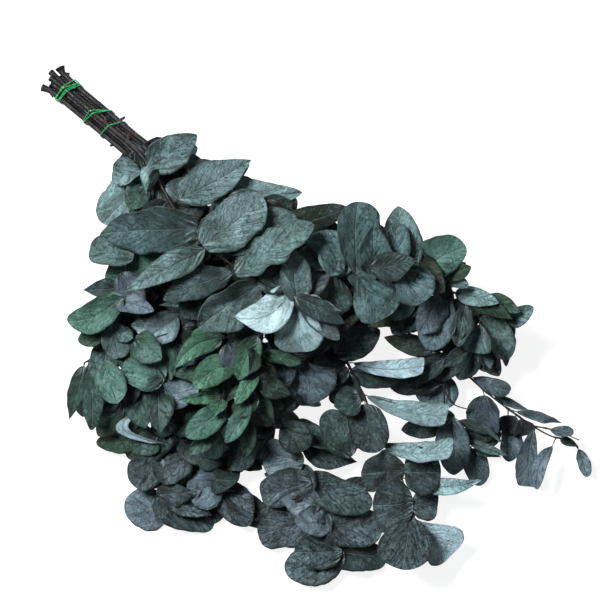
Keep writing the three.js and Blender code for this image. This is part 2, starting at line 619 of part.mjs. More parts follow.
// The same leaf with its blade lifted on a slanting stalk, its tip lifted further and its blade rolled.
function adjusted(leaf, [lift, tilt, turn]) {
  const tip = leaf.tip.clone();
  const base = leaf.root.clone().lerp(tip, Math.min(0.012 * Math.abs(lift), 0.24));
  base.z = Math.max(leaf.root.z + lift, TABLE_CLEAR);
  tip.z = Math.max(tip.z + lift + tilt, TABLE_CLEAR);
  return { ...leaf, base, tip, roll: leaf.roll + turn };
}

// The one leaf that lies flat on the surface.
function laidFlat(leaf) {
  const base = leaf.base.clone().setZ(TABLE_CLEAR);
  const tip = leaf.tip.clone().setZ(TABLE_CLEAR);
  return { ...leaf, base, tip, roll: 0, fold: 0, bow: 0 };
}

function outlineWidth([a, b], u) {
  const widest = a / (a + b);
  return (u / widest) ** a * ((1 - u) / (1 - widest)) ** b;
}

// The middle surface of a blade: u runs from base to tip and v from one rim, -1, to the other, 1.
function bladePoint(leaf, u, v) {
  const chord = leaf.tip.clone().sub(leaf.base);
  const length = chord.length();
  const along = chord.divideScalar(length);
  const level = UP.clone().cross(along).normalize();
  const over = along.clone().cross(level);
  const roll = (leaf.roll + leaf.twist * (u - 0.5)) * DEGREE;
  const side = level.clone().multiplyScalar(Math.cos(roll)).addScaledVector(over, Math.sin(roll));
  const face = over.clone().multiplyScalar(Math.cos(roll)).addScaledVector(level, -Math.sin(roll));
  const blade = leaf.width / 2 * outlineWidth(leaf.outline, u);
  const half = Math.hypot(blade, BLADE_ROOT * (1 - u) ** 3);
  const arch = 4 * u * (1 - u) * length;
  const fold = leaf.fold * DEGREE;
  const point = leaf.base.clone()
    .addScaledVector(along, length * u)
    .addScaledVector(side, half * v * Math.cos(fold))
    .addScaledVector(face, half * Math.abs(v) ** 1.4 * Math.sin(fold))
    .addScaledVector(over, leaf.bow * arch)
    .addScaledVector(level, leaf.bend * arch);
  point.z = Math.max(point.z, TABLE_CLEAR);
  return point;
}

function bladeNormal(leaf, u, v) {
  const step = 0.02;
  const low = Math.max(u - step, 0);
  const high = Math.min(u + step, 1);
  const mid = (low + high) / 2;
  const along = bladePoint(leaf, high, v).sub(bladePoint(leaf, low, v));
  const across = bladePoint(leaf, mid, Math.min(v + step, 1)).sub(bladePoint(leaf, mid, Math.max(v - step, -1)));
  return along.cross(across).normalize();
}

// A blade's corners as [u, v] and its triangles seen from above. The first corner is the leaf's root in
// the wood, then come the rim, with the tip at u = 1, and the points on the midrib.
const LARGE_BLADE = {
  corners: [
    [0, 0], [0.16, -1], [0.46, -1], [0.8, -1], [1, 0], [0.8, 1], [0.46, 1], [0.16, 1], [0.3, 0], [0.66, 0],
  ],
  rim: 8,
  triangles: [
    [0, 1, 8], [1, 2, 8], [2, 9, 8], [2, 3, 9], [3, 4, 9], [4, 5, 9], [5, 6, 9], [6, 8, 9], [6, 7, 8], [7, 0, 8],
  ],
};
const SMALL_BLADE = {
  corners: [[0, 0], [0.3, -1], [0.74, -1], [1, 0], [0.74, 1], [0.3, 1], [0.5, 0]],
  rim: 6,
  triangles: [[0, 1, 6], [1, 2, 6], [2, 3, 6], [3, 4, 6], [4, 5, 6], [5, 0, 6]],
};
const SMALL_WIDTH = 28;                    // a narrower leaf has the small blade

function bladeCorners(leaf, offset) {
  return leaf.grid.corners.map(([u, v], k) => {
    const point = k === 0 ? leaf.root.clone() : bladePoint(leaf, u, v);
    return point.addScaledVector(bladeNormal(leaf, Math.max(u, 0.08), v), offset);
  });
}

// A blade of even thickness: the same triangles on both faces and a band round the rim.
function blade(leaf) {
  const { corners, rim, triangles } = leaf.grid;
  const positions = [];
  const faces = [];
  for (const offset of [BLADE_THICKNESS / 2, -BLADE_THICKNESS / 2]) {
    for (const point of bladeCorners(leaf, offset)) positions.push(point.x, point.y, Math.max(point.z, 0));
  }
  const under = corners.length;
  for (const [a, b, c] of triangles) {
    faces.push(a, b, c);
    faces.push(under + a, under + c, under + b);
  }
  for (let k = 0; k < rim; k++) {
    const next = (k + 1) % rim;
    faces.push(k, under + k, under + next, k, under + next, next);
  }
  return { positions, faces };
}

// ---------------------------------------------------------------- room for every leaf

const CELL = 2;                            // the side of the squares in which heights are kept
const MARGIN = 1.35;                       // kept round every placed surface
const SAMPLE_SPACING = 1.6;
const ROOT_FREE = 7;                       // near its base a leaf may touch its own stem's pieces
const FIELD = 420;                         // the field reaches this far from the origin each way

// The heights that are already taken above each small square of the surface, and by which stem.
class Thicket {
  constructor() {
    this.columns = new Map();
  }

  key(x, y) {
    return Math.floor((x + FIELD) / CELL) * 1000 + Math.floor((y + FIELD) / CELL);
  }

  take(samples, owner) {
    const spans = new Map();
    for (const { point, margin = MARGIN } of samples) {
      for (const [dx, dy] of [[-1, -1], [-1, 1], [1, -1], [1, 1], [0, 0]]) {
        const key = this.key(point.x + dx * margin, point.y + dy * margin);
        const span = spans.get(key);
        if (span) {
          span.low = Math.min(span.low, point.z - margin);
          span.high = Math.max(span.high, point.z + margin);
        } else {
          spans.set(key, { low: point.z - margin, high: point.z + margin, owner });
        }
      }
    }
    for (const [key, span] of spans) {
      if (!this.columns.has(key)) this.columns.set(key, []);
      this.columns.get(key).push(span);
    }
  }

  isFree(samples, owner) {
    for (const { point, atRoot } of samples) {
      for (const span of this.columns.get(this.key(point.x, point.y)) ?? []) {
        if (atRoot && span.owner === owner) continue;
        if (point.z > span.low && point.z < span.high) return false;
      }
    }
    return true;
  }
}

function sampleTriangle(a, b, c, { root, base }, samples) {
  const longest = Math.max(a.distanceTo(b), b.distanceTo(c), c.distanceTo(a));
  const steps = Math.max(Math.ceil(longest / SAMPLE_SPACING), 1);
  for (let i = 0; i <= steps; i++) {
    for (let j = 0; j <= steps - i; j++) {
      const point = a.clone().multiplyScalar(1 - (i + j) / steps)
        .addScaledVector(b, i / steps)
        .addScaledVector(c, j / steps);
      const atRoot = Math.min(point.distanceTo(base), point.distanceTo(root)) < ROOT_FREE;
      samples.push({ point, atRoot });
    }
  }
}

function sampleLeaf(leaf) {
  const points = bladeCorners(leaf, 0);
  const samples = [];
  for (const [a, b, c] of leaf.grid.triangles) sampleTriangle(points[a], points[b], points[c], leaf, samples);
  return samples;
}

// The ways a leaf may give way to the others, the smallest change first: [lift, tilt, turn].
const LIFTS = [0, -3, 3, -6, 6, -10, 10, -15, 15, -20, 20, -26, 26];
const TILTS = [0, -7, 7, -14, 14, -22, 22];
const TURNS = [0, 18, -18];
const CHOICES = LIFTS.flatMap((lift) => TILTS.flatMap((tilt) => TURNS.map((turn) => [lift, tilt, turn])));
const effort = ([lift, tilt, turn]) => Math.abs(lift) + 0.6 * Math.abs(tilt) + 0.3 * Math.abs(turn);
CHOICES.sort((a, b) => effort(a) - effort(b));

function findRoom(thicket, leaf, owner) {
  for (const choice of CHOICES) {
    const candidate = adjusted(leaf, choice);
    const samples = sampleLeaf(candidate);
    if (thicket.isFree(samples, owner)) {
      thicket.take(samples, owner);
      return candidate;
    }
  }
  return null;
}

function insideCover([right, down]) {
  let inside = false;
  for (let k = 0; k < COVER.length; k++) {
    const [x1, y1] = COVER[k];
    const [x2, y2] = COVER[(k + 1) % COVER.length];
    if ((y1 > down) !== (y2 > down) && right < x1 + (x2 - x1) * (down - y1) / (y2 - y1)) inside = !inside;
  }
  return inside && !CLEARINGS.some(([x, y, radius]) => Math.hypot(right - x, down - y) < radius);
}

const staysUnderCover = (leaf) => bladeCorners(leaf, 0).every((point) => insideCover(toPlan(point)));

// ---------------------------------------------------------------- filler leaves

// Pairs of leaves along the stem and its twigs, each leaning its own way.
function fillerLeaves(stem, woods, seed) {
  const { from, to, step, length, width } = stem.fillers;
  const draw = makeDraw(seed);
  const leaves = [];
  for (const own of woods) {
    const { line } = own;
    const first = own === woods[0] ? from : 0.15;
    const count = Math.round(line.getLength() * (to - first) / step);
    for (let k = 0; k < count; k++) {
      const share = first + (to - first) * k / count;
      const middle = line.getPoint(share);
      const joint = nearestWood([own], toPlan(middle));
      const ahead = line.getPoint(share + 0.01).sub(middle);
      const heading = Math.atan2(ahead.y, ahead.x);
      for (const side of [-1, 1]) {
        const angle = heading + side * between([45, 100], draw()) * DEGREE;
        const reach = between(length, draw());
        const rise = between([-14, 8], draw());
        const tip = joint.clone().add(new THREE.Vector3(reach * Math.cos(angle), reach * Math.sin(angle), rise));
        const form = { roll: between([-25, 25], draw()), fold: between([6, 20], draw()) };
        const leaf = makeLeaf(joint, tip, between(width, draw()), OVAL, form);
        leaves.push({ ...leaf, grid: SMALL_BLADE });
      }
    }
  }
  return leaves;
}

// ---------------------------------------------------------------- joining

function toSolid({ positions, faces }) {
  return new wasm.Manifold(new wasm.Mesh({
    numProp: 3,
    vertProperties: new Float32Array(positions),
    triVerts: new Uint32Array(faces),
  }));
}

function fuse(shapes) {
  return shapes.map(toSolid).reduce((whole, next) => whole.add(next));
}

function toGeometry(solid) {
  const mesh = solid.getMesh();
  const geometry = new THREE.BufferGeometry();
  geometry.setAttribute('position', new THREE.BufferAttribute(mesh.vertProperties, 3));
  geometry.setIndex(new THREE.BufferAttribute(mesh.triVerts, 1));
  const merged = mergeVertices(geometry);
  merged.computeVertexNormals();
  return merged;
}

// ---------------------------------------------------------------- ties

// The stems at the outside of the handle's section, in order round it.
const HANDLE_HULL = [[0, 2], [-3, 1], [-3, -1], [0, -2], [3, -1], [3, 1]]
  .map(([across, up]) => new THREE.Vector2(across * STEM_PITCH / 2, up * rowHeight));

// One turn of a tie's path in the handle's section: round the outer stems, straight between them.
function tieTurn() {
  const reach = STEM_RADIUS + TIE_GAP + TIE_RADIUS;
  const path = [];
  HANDLE_HULL.forEach((corner, k) => {
    const before = HANDLE_HULL[(k + 5) % 6];
    const after = HANDLE_HULL[(k + 1) % 6];
    const enter = corner.clone().sub(before);
    const leave = after.clone().sub(corner);
    const start = Math.atan2(-enter.x, enter.y);
    let sweep = Math.atan2(-leave.x, leave.y) - start;
    if (sweep < 0) sweep += 2 * Math.PI;
    for (const share of [0, 0.5, 1]) {
      const angle = start + sweep * share;
      path.push({
        across: corner.x + reach * Math.cos(angle),
        up: corner.y + reach * Math.sin(angle),
      });
    }
  });
  return path;
}

// where: along the handle. spread: half the distance between the two turns. slant: how far one side lies
// ahead of the other. crossing: the share of the way round at which the turns cross.
const TIES = {
  tie_end: { where: 9.5, spread: 4, slant: 2.2, crossing: 0.06, turns: 2 },
  tie_middle: { where: 47.5, spread: 3.2, slant: 8, crossing: 0.55, turns: 2 },
  tie_neck: { where: 69, spread: 0, slant: 3.2, crossing: 0.5, turns: 1 },
};

function tie({ where, spread, slant, crossing, turns }) {
  const turn = tieTurn();
  const total = turn.length * turns;
  const centres = [];
  for (let k = 0; k < total; k++) {
    const { across, up } = turn[k % turn.length];
    const share = k / turn.length;
    const fromCrossing = turns === 1 ? 1 : Math.abs(share - crossing);
    const lift = TIE_CROSSING_LIFT * Math.max(0, 1 - (fromCrossing / 0.2) ** 2);
    const swing = turns === 1 ? 0 : spread * Math.sin(Math.PI * (share - crossing));
    const scale = 1 + lift / Math.hypot(across, up);
    const along = where + swing + slant * across / (1.5 * STEM_PITCH);
    centres.push(handlePoint(along, across * scale, up * scale));
  }
  const positions = [];
  const faces = [];
  centres.forEach((centre, k) => {
    const ahead = centres[(k + 1) % total].clone().sub(centres[(k + total - 1) % total]).normalize();
    const side = handleAlong.clone().sub(ahead.clone().multiplyScalar(handleAlong.dot(ahead))).normalize();
    const out = ahead.clone().cross(side);
    for (let i = 0; i < TIE_SIDES; i++) {
      const angle = 2 * Math.PI * i / TIE_SIDES;
      const rim = centre.clone()
        .addScaledVector(side, TIE_RADIUS * Math.cos(angle))
        .addScaledVector(out, TIE_RADIUS * Math.sin(angle));
      positions.push(rim.x, rim.y, rim.z);
    }
  });
  for (let k = 0; k < total; k++) {
    for (let i = 0; i < TIE_SIDES; i++) {
      const a = k * TIE_SIDES + i;
      const b = k * TIE_SIDES + (i + 1) % TIE_SIDES;
      const c = ((k + 1) % total) * TIE_SIDES + (i + 1) % TIE_SIDES;
      const d = ((k + 1) % total) * TIE_SIDES + i;
      faces.push(a, b, c, a, c, d);
    }
  }
  return { positions, faces };
}

// ---------------------------------------------------------------- the whole bunch

const leafMaterial = new THREE.MeshStandardMaterial({ color: 0x5f7a76, roughness: 0.75, metalness: 0 });
const tieMaterial = new THREE.MeshStandardMaterial({ color: 0x3f8f4a, roughness: 0.6, metalness: 0 });

function growBunch() {
  const bunch = new THREE.Group();
  const thicket = new Thicket();
  const grown = Object.entries(STEMS).map(([name, stem]) => {
    const woods = [stemWood(stem)];
    for (const route of stem.twigs) woods.push(twigWood(route, woods));
    return { name, stem, woods, placed: [] };
  });

  for (const { name, woods } of grown) {
    for (const own of woods) thicket.take(alongWood(own), name);
  }
  for (const { name, stem, woods, placed } of grown) {
    const draw = makeDraw(LEAF_SEED);
    for (const row of stem.leaves) {
      const leaf = leafOf(woods, row, draw);
      leaf.grid = leaf.width < SMALL_WIDTH ? SMALL_BLADE : LARGE_BLADE;
      const found = leaf.still ? laidFlat(leaf) : findRoom(thicket, leaf, name);
      if (leaf.still) thicket.take(sampleLeaf(found), name);
      if (found) placed.push(found);
    }
  }
  grown.forEach(({ name, stem, woods, placed }, k) => {
    if (!stem.fillers) return;
    for (const leaf of fillerLeaves(stem, woods, FILLER_SEED + k)) {
      if (!staysUnderCover(leaf)) continue;
      const found = findRoom(thicket, leaf, name);
      if (found) placed.push(found);
    }
  });

  for (const { name, woods: [stem, ...twigs], placed } of grown) {
    const tubes = [tube(stem, STEM_SIDES), ...twigs.map((twig) => tube(twig, TWIG_SIDES))];
    const mesh = new THREE.Mesh(toGeometry(fuse([...tubes, ...placed.map(blade)])), leafMaterial);
    mesh.name = name;
    bunch.add(mesh);
  }
  for (const [name, settings] of Object.entries(TIES)) {
    const mesh = new THREE.Mesh(toGeometry(toSolid(tie(settings))), tieMaterial);
    mesh.name = name;
    bunch.add(mesh);
  }
  return bunch;
}

export default growBunch();
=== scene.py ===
"""A bunch of dried eucalyptus lying on a pale surface, seen from straight above.

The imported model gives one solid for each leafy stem. Each is replaced here by two finer pieces that keep
its form: the wood with its leaf stalks, and the leaves. The layout below is the model's own, in plan
millimetres: [right, down, height] as seen from above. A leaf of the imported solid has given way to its
neighbours by a small lift, tilt or roll, and its corners tell which.
"""

import math

import bpy
import numpy as np
from mathutils import Matrix, Vector
from mathutils.bvhtree import BVHTree
from mathutils.kdtree import KDTree


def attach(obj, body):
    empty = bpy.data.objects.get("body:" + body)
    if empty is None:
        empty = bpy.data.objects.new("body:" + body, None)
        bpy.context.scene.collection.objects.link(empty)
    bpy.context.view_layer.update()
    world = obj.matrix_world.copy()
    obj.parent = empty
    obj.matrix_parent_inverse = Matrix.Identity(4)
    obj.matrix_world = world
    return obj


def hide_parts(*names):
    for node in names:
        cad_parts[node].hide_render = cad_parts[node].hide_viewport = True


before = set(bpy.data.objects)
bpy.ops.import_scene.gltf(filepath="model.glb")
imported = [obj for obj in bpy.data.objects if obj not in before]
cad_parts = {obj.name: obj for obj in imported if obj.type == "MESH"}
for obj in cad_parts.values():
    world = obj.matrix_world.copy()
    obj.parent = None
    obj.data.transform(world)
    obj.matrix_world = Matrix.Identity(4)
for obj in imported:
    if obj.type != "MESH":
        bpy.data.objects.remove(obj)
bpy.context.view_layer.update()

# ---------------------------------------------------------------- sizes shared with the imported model

MM = 0.001
PLAN_TURN = math.radians(50)
ORIGIN_PLAN = (255.5, 327)
STEM_RADIUS = 3.1
TIP_RADIUS = 1.0
TWIG_RADIUS = 1.5
STEM_PITCH = 6.6
RING_SPACING = 42
WOOD_STEPS = 30
CUT_FLARE = 1.35
BLADE_THICKNESS = 0.8
BLADE_ROOT = 1.3
ROOT_OFFSET = 0.5
TABLE_CLEAR = BLADE_THICKNESS / 2
HANDLE_START = (61, 86, 14.7)
HANDLE_END = (148, 158.5, 43)

# A blade's half width along its length u is (u / m)^a ((1 - u) / (1 - m))^b with m = a / (a + b).
ROUND = (0.38, 0.4)
OVAL = (0.52, 0.66)
SPOON = (0.72, 0.42)
LANCE = (0.6, 0.95)
BLUNT = (0.55, 0.22)
FAN = (1.1, 0.25)

# ---------------------------------------------------------------- leaf colours, sRGB 0 to 255

TEAL = (81, 105, 106)
LIGHT = (116, 145, 147)
PALE = (130, 155, 164)
FROST = (150, 172, 180)
SLATE = (64, 81, 88)
DARK = (39, 56, 57)
GREEN = (54, 94, 74)
DEEP = (38, 62, 50)
BROWN = (46, 56, 48)
BLUE = (83, 101, 111)
BLACKISH = (18, 36, 28)
SEA = (60, 94, 84)
TIDE = (40, 66, 58)
NIGHT = (60, 84, 86)
STONE = (58, 73, 78)
MIST = (100, 116, 125)

# How strongly the veins and spots of a tone show, from 0 to 1, and those of the tones not named here.
MARKS = {STONE: 1.0, TEAL: 0.6, NIGHT: 0.5, FROST: 0.1, PALE: 0.2}
MARKED = 0.35

# ---------------------------------------------------------------- the stems
#
# across, up: the stem's place in the handle's section, in half pitches and in rows
# cut: how far its cut end reaches past the handle's start
# leaves: (base right, base down, tip right, tip down, rise, width, outline, form, tone)

STEMS = {
    "stem_top": {
        "across": 0, "up": 2, "cut": 12,
        "route": [(164, 190, 66), (176, 212, 84), (194, 232, 98), (212, 250, 108), (241, 272, 114),
                  (268, 287, 112), (298, 297, 106)],
        "twigs": [],
        "leaves": [
            (160, 162, 198, 136, 14, 38, OVAL, {"roll": -10}, TEAL),
            (162, 166, 147, 192, -6, 24, OVAL, {"fold": -45}, LIGHT),
            (171, 205, 252, 161, 8, 42, LANCE, {"fold": 18}, TEAL),
            (198, 226, 106, 234, -4, 47, ROUND, {"bow": 0.12, "fold": 8}, NIGHT),
            (206, 245, 263, 198, 14, 43, ROUND, {"fold": 15}, TEAL),
            (213, 250, 297, 219, 6, 33, OVAL, {"roll": -20}, TEAL),
            (207, 252, 124, 293, -6, 30, LANCE, {"roll": 25, "fold": 20}, TEAL),
            (243, 270, 165, 300, -12, 32, LANCE, {"roll": 25}, DARK),
            (241, 272, 314, 226, 10, 34, OVAL, {"roll": -15, "fold": 20}, TEAL),
            (264, 282, 200, 328, -8, 44, OVAL, {"fold": 10}, TEAL),
            (293, 289, 236, 317, -3, 34, OVAL, {"bend": 0.16, "roll": 10, "fold": 14}, FROST),
            (298, 298, 302, 351, -14, 43, SPOON, {"bow": 0.16, "fold": 12}, PALE),
            (290, 281, 344, 323, -4, 20, OVAL, {"roll": 20}, DARK),
            (303, 284, 341, 311, 4, 14, LANCE, {"roll": 55}, FROST),
            (298, 290, 290, 248, -4, 28, OVAL, {"fold": 18}, TEAL),
            (200, 243, 176, 257, -6, 13, LANCE, {"fold": 20}, DARK),
            (283, 289, 262, 258, -10, 24, OVAL, {"fold": 14}, DARK),
        ],
        "fillers": None,
    },
    "stem_high_right": {
        "across": 3, "up": 1, "cut": 13,
        "route": [(190, 172, 62), (222, 191, 76), (256, 204, 82), (286, 208, 80), (304, 217, 76)],
        "twigs": [],
        "leaves": [
            (178, 170, 204, 163, 4, 22, OVAL, {"roll": -15}, TEAL),
            (215, 193, 302, 193, 6, 27, OVAL, {"bend": -0.05, "fold": 16}, LIGHT),
            (275, 207, 293, 203, 3, 13, OVAL, {"fold": 20}, BLACKISH),
            (222, 192, 262, 226, -10, 34, OVAL, {"fold": 12}, TEAL),
            (250, 203, 292, 216, -8, 22, OVAL, {"fold": 12}, DARK),
        ],
        "fillers": None,
    },
    "stem_high_middle": {
        "across": 1, "up": 1, "cut": 18,
        "route": [(196, 200, 62), (244, 236, 78), (292, 262, 88), (334, 275, 94), (356, 272, 97),
                  (378, 266, 97), (411, 265, 94), (436, 271, 88), (448, 283, 82)],
        "twigs": [],
        "leaves": [
            (356, 271, 357, 203, 12, 47, SPOON, {"bow": 0.1, "fold": 10}, NIGHT),
            (340, 273, 334, 236, 10, 27, OVAL, {"fold": 16}, LIGHT),
            (342, 272, 303, 239, 6, 30, OVAL, {"bend": -0.22}, NIGHT),
            (393, 265, 396, 224, 10, 30, ROUND, {"fold": 14}, NIGHT),
            (409, 264, 397, 207, 0, 43, OVAL, {"fold": 10}, TEAL),
            (420, 264, 464, 247, 2, 40, ROUND, {"fold": 8}, SEA),
            (443, 276, 469, 267, 2, 18, OVAL, {"roll": 25}, DEEP),
            (446, 281, 467, 287, -4, 14, OVAL, {"roll": -30}, TEAL),
            (356, 272, 380, 320, -10, 43, SPOON, {"bow": 0.1, "fold": 12}, NIGHT),
            (379, 266, 407, 317, -4, 42, OVAL, {"bow": 0.14, "fold": 10}, NIGHT),
            (411, 266, 443, 292, -6, 38, OVAL, {"fold": 14}, BROWN),
            (375, 267, 386, 305, -14, 26, OVAL, {"fold": -20}, DARK),
            (334, 276, 300, 250, -8, 30, OVAL, {"roll": 20}, BLACKISH),
            (334, 276, 320, 316, -16, 34, OVAL, {"roll": -20}, DARK),
            (262, 246, 348, 209, -4, 30, OVAL, {"bow": 0.12, "fold": -10}, BLACKISH),
            (396, 266, 422, 302, -12, 36, ROUND, {"fold": 12}, NIGHT),
            (372, 268, 372, 228, -6, 30, OVAL, {"fold": 15}, NIGHT),
            (362, 270, 414, 261, -12, 26, OVAL, {"fold": 12}, DARK),
        ],
        "fillers": None,
    },
    "stem_high_left": {
        "across": -3, "up": 1, "cut": 14,
        "route": [(143, 183, 57), (139, 214, 70), (130, 256, 76), (122, 299, 77), (115, 327, 72),
                  (108, 344, 66)],
        "twigs": [],
        "leaves": [
            (146, 172, 113, 181, 4, 30, OVAL, {"roll": 20}, TEAL),
            (150, 180, 102, 223, 8, 44, OVAL, {"fold": 14}, LIGHT),
            (129, 258, 91, 250, 2, 38, ROUND, {"fold": 20}, TEAL),
            (126, 258, 107, 238, 12, 16, LANCE, {"fold": 15}, LIGHT),
            (121, 299, 69, 321, -2, 34, OVAL, {"bend": 0.1, "fold": 16}, SEA),
            (119, 308, 76, 329, -14, 22, LANCE, {"roll": 20}, TIDE),
            (121, 299, 156, 311, 6, 22, OVAL, {"fold": 14}, BLUE),
            (115, 328, 79, 341, -8, 24, OVAL, {"roll": 15}, DEEP),
            (113, 327, 134, 338, -2, 20, OVAL, {"fold": -25}, TEAL),
            (123, 288, 84, 290, -8, 20, LANCE, {"roll": 10}, DARK),
            (135, 236, 112, 258, -14, 26, OVAL, {"fold": 10}, DARK),
        ],
        "fillers": None,
    },
    "stem_green": {
        "across": -1, "up": 1, "cut": 9,
        "route": [(172, 212, 58), (198, 262, 74), (230, 303, 82), (258, 333, 82), (263, 362, 78),
                  (256, 392, 74), (247, 412, 70)],
        "twigs": [
            ((206, 274, 77), (224, 308, 74), (233, 343, 74), (226, 382, 70), (221, 412, 66), (216, 432, 62)),
        ],
        "leaves": [
            (190, 254, 106, 281, 2, 34, OVAL, {"fold": 14}, SEA),
            (228, 338, 192, 334, 4, 19, OVAL, {"fold": 20}, GREEN),
            (231, 337, 176, 367, -4, 23, LANCE, {"bend": -0.12, "fold": 20}, GREEN),
            (264, 332, 233, 334, 4, 26, ROUND, {"fold": 14}, DEEP),
            (256, 344, 229, 353, -4, 22, ROUND, {"fold": 8}, BLUE),
            (260, 338, 239, 379, -2, 23, OVAL, {"fold": 18}, GREEN),
            (263, 345, 251, 372, -4, 18, OVAL, {"fold": 18}, DEEP),
            (234, 364, 195, 387, -2, 27, OVAL, {"bend": -0.1, "fold": 14}, GREEN),
            (264, 370, 236, 403, -2, 17, OVAL, {"roll": 30}, GREEN),
            (221, 393, 179, 400, 0, 13, LANCE, {"roll": -20}, GREEN),
            (222, 412, 187, 436, -2, 25, OVAL, {"fold": 16}, SEA),
            (252, 398, 226, 442, -4, 21, OVAL, {"fold": 20}, SEA),
            (217, 430, 209, 458, -6, 26, SPOON, {"fold": -22}, SEA),
            (248, 411, 246, 456, -8, 17, OVAL, {"fold": 24}, DEEP),
            (236, 400, 214, 416, 2, 17, OVAL, {"fold": 15}, GREEN),
            (224, 404, 236, 380, -6, 20, OVAL, {"fold": 14}, DEEP),
            (262, 372, 262, 426, -14, 30, SPOON, {"fold": 14}, DEEP),
            (214, 434, 190, 454, -8, 19, OVAL, {"fold": 14}, SEA),
            (228, 372, 170, 373, -10, 20, LANCE, {"fold": -14}, DEEP),
            (192, 306, 160, 305, 2, 9, LANCE, {"roll": 20}, LIGHT),
            (216, 290, 182, 316, -8, 26, OVAL, {"fold": 14}, DARK),
        ],
        "fillers": {"from": 0.3, "to": 0.98, "step": 40, "length": (34, 50), "width": (16, 26)},
    },
    "stem_right": {
        "across": 2, "up": 0, "cut": 7,
        "route": [(212, 196, 52), (284, 240, 60), (360, 268, 64), (424, 284, 68), (455, 293, 68),
                  (482, 302, 64), (502, 314, 58), (508, 326, 52)],
        "twigs": [
            ((482, 302, 64), (483, 326, 52), (478, 346, 42), (468, 362, 34)),
        ],
        "leaves": [
            (449, 292, 428, 349, -8, 34, SPOON, {"bow": 0.12, "fold": 10}, BLUE),
            (473, 314, 442, 357, -12, 19, OVAL, {"roll": 20}, DARK),
            (481, 318, 472, 352, -12, 34, OVAL, {"fold": 36}, TEAL),
            (484, 330, 462, 344, -2, 12, LANCE, {"bow": 0.25, "roll": 40}, PALE),
            (477, 347, 442, 366, -6, 17, LANCE, {"fold": 25}, DARK),
            (471, 356, 459, 380, -6, 28, OVAL, {"fold": 12}, DARK),
            (478, 344, 487, 372, -4, 20, OVAL, {"fold": 12}, DARK),
            (452, 292, 497, 303, 4, 20, OVAL, {"roll": -15}, LIGHT),
            (480, 299, 519, 312, 0, 20, OVAL, {"bend": 0.08}, DEEP),
            (463, 298, 511, 319, -6, 19, LANCE, {"fold": 14}, DEEP),
            (505, 322, 532, 307, 6, 21, OVAL, {"fold": 18}, TEAL),
            (494, 312, 506, 360, -16, 27, OVAL, {"fold": 14}, TEAL),
            (500, 338, 491, 367, -6, 12, BLUNT, {"fold": 14}, DARK),
            (504, 340, 507, 367, -6, 11, OVAL, {"fold": 14}, TEAL),
            (457, 294, 463, 334, -18, 26, OVAL, {"fold": -12}, DARK),
            (436, 288, 368, 326, -10, 28, LANCE, {"fold": 14}, BROWN),
            (432, 288, 392, 334, -14, 26, OVAL, {"fold": 14}, DARK),
            (372, 272, 336, 333, -4, 24, OVAL, {"fold": 14}, BROWN),
            (384, 276, 372, 331, -6, 20, OVAL, {"roll": 20}, DARK),
        ],
        "fillers": {"from": 0.34, "to": 0.86, "step": 40, "length": (44, 58), "width": (26, 38)},
    },
    "stem_middle": {
        "across": 0, "up": 0, "cut": 15,
        "route": [(178, 208, 52), (214, 270, 56), (262, 322, 56), (300, 362, 50), (322, 392, 42)],
        "twigs": [],
        "leaves": [
            (318, 338, 320, 401, -8, 48, SPOON, {"fold": 10}, SLATE),
        ],
        "fillers": {"from": 0.3, "to": 0.97, "step": 38, "length": (42, 58), "width": (24, 38)},
    },
    "stem_left": {
        "across": -2, "up": 0, "cut": 10,
        "route": [(154, 212, 48), (166, 264, 54), (184, 308, 58), (188, 334, 58), (174, 354, 56),
                  (165, 380, 52), (157, 404, 46)],
        "twigs": [
            ((166, 264, 54), (150, 300, 52), (126, 330, 50), (104, 352, 44), (84, 363, 38)),
            ((165, 380, 52), (146, 389, 46), (124, 400, 38)),
        ],
        "leaves": [
            (172, 325, 131, 325, 4, 19, OVAL, {"fold": 12}, PALE),
            (188, 327, 163, 326, 4, 26, ROUND, {"fold": 12}, BLUE),
            (188, 330, 198, 308, 2, 21, ROUND, {"fold": 12}, TIDE),
            (165, 378, 142, 339, 6, 45, ROUND, {"fold": 8}, SEA),
            (163, 382, 126, 360, -4, 38, ROUND, {"fold": 12}, SEA),
            (108, 346, 103, 374, 0, 29, ROUND, {"fold": 12}, NIGHT),
            (98, 379, 122, 366, 2, 12, LANCE, {"fold": 16}, SEA),
            (82, 358, 69, 420, -14, 19, LANCE, {"bend": 0.02, "twist": 30}, TIDE),
            (88, 360, 92, 430, -14, 23, OVAL, {"fold": 20}, TIDE),
            (102, 354, 118, 403, -8, 28, OVAL, {"fold": 14}, SEA),
            (150, 366, 141, 390, -4, 11, LANCE, {"fold": 14}, TIDE),
            (124, 400, 108, 431, -8, 27, OVAL, {"fold": 16}, SEA),
            (160, 397, 200, 387, 6, 27, OVAL, {"fold": 14}, BLUE),
            (158, 404, 158, 443, -6, 15, BLUNT, {"bend": -0.75, "fold": 10}, PALE),
            (140, 392, 146, 428, -12, 26, OVAL, {"fold": 14}, TIDE),
            (151, 298, 124, 289, 4, 22, OVAL, {"fold": 14}, TIDE),
            (140, 314, 120, 306, -3, 20, OVAL, {"fold": 14}, SEA),
            (124, 400, 130, 366, -4, 24, OVAL, {"fold": 14}, DARK),
        ],
        "fillers": {"from": 0.3, "to": 0.9, "step": 46, "length": (38, 52), "width": (22, 34)},
    },
    "stem_low_right": {
        "across": 3, "up": -1, "cut": 8,
        "route": [(218, 206, 38), (300, 262, 40), (380, 316, 38), (440, 352, 34), (462, 369, 30),
                  (483, 390, 24), (511, 411, 19), (534, 427, 15), (556, 440, 12), (568, 438, 10),
                  (580, 449, 7)],
        "twigs": [
            ((440, 352, 34), (446, 384, 26), (443, 420, 20), (462, 440, 15), (481, 457, 11)),
            ((446, 384, 26), (450, 406, 22), (471, 410, 18)),
            ((534, 427, 15), (556, 430, 12), (581, 441, 8)),
        ],
        "leaves": [
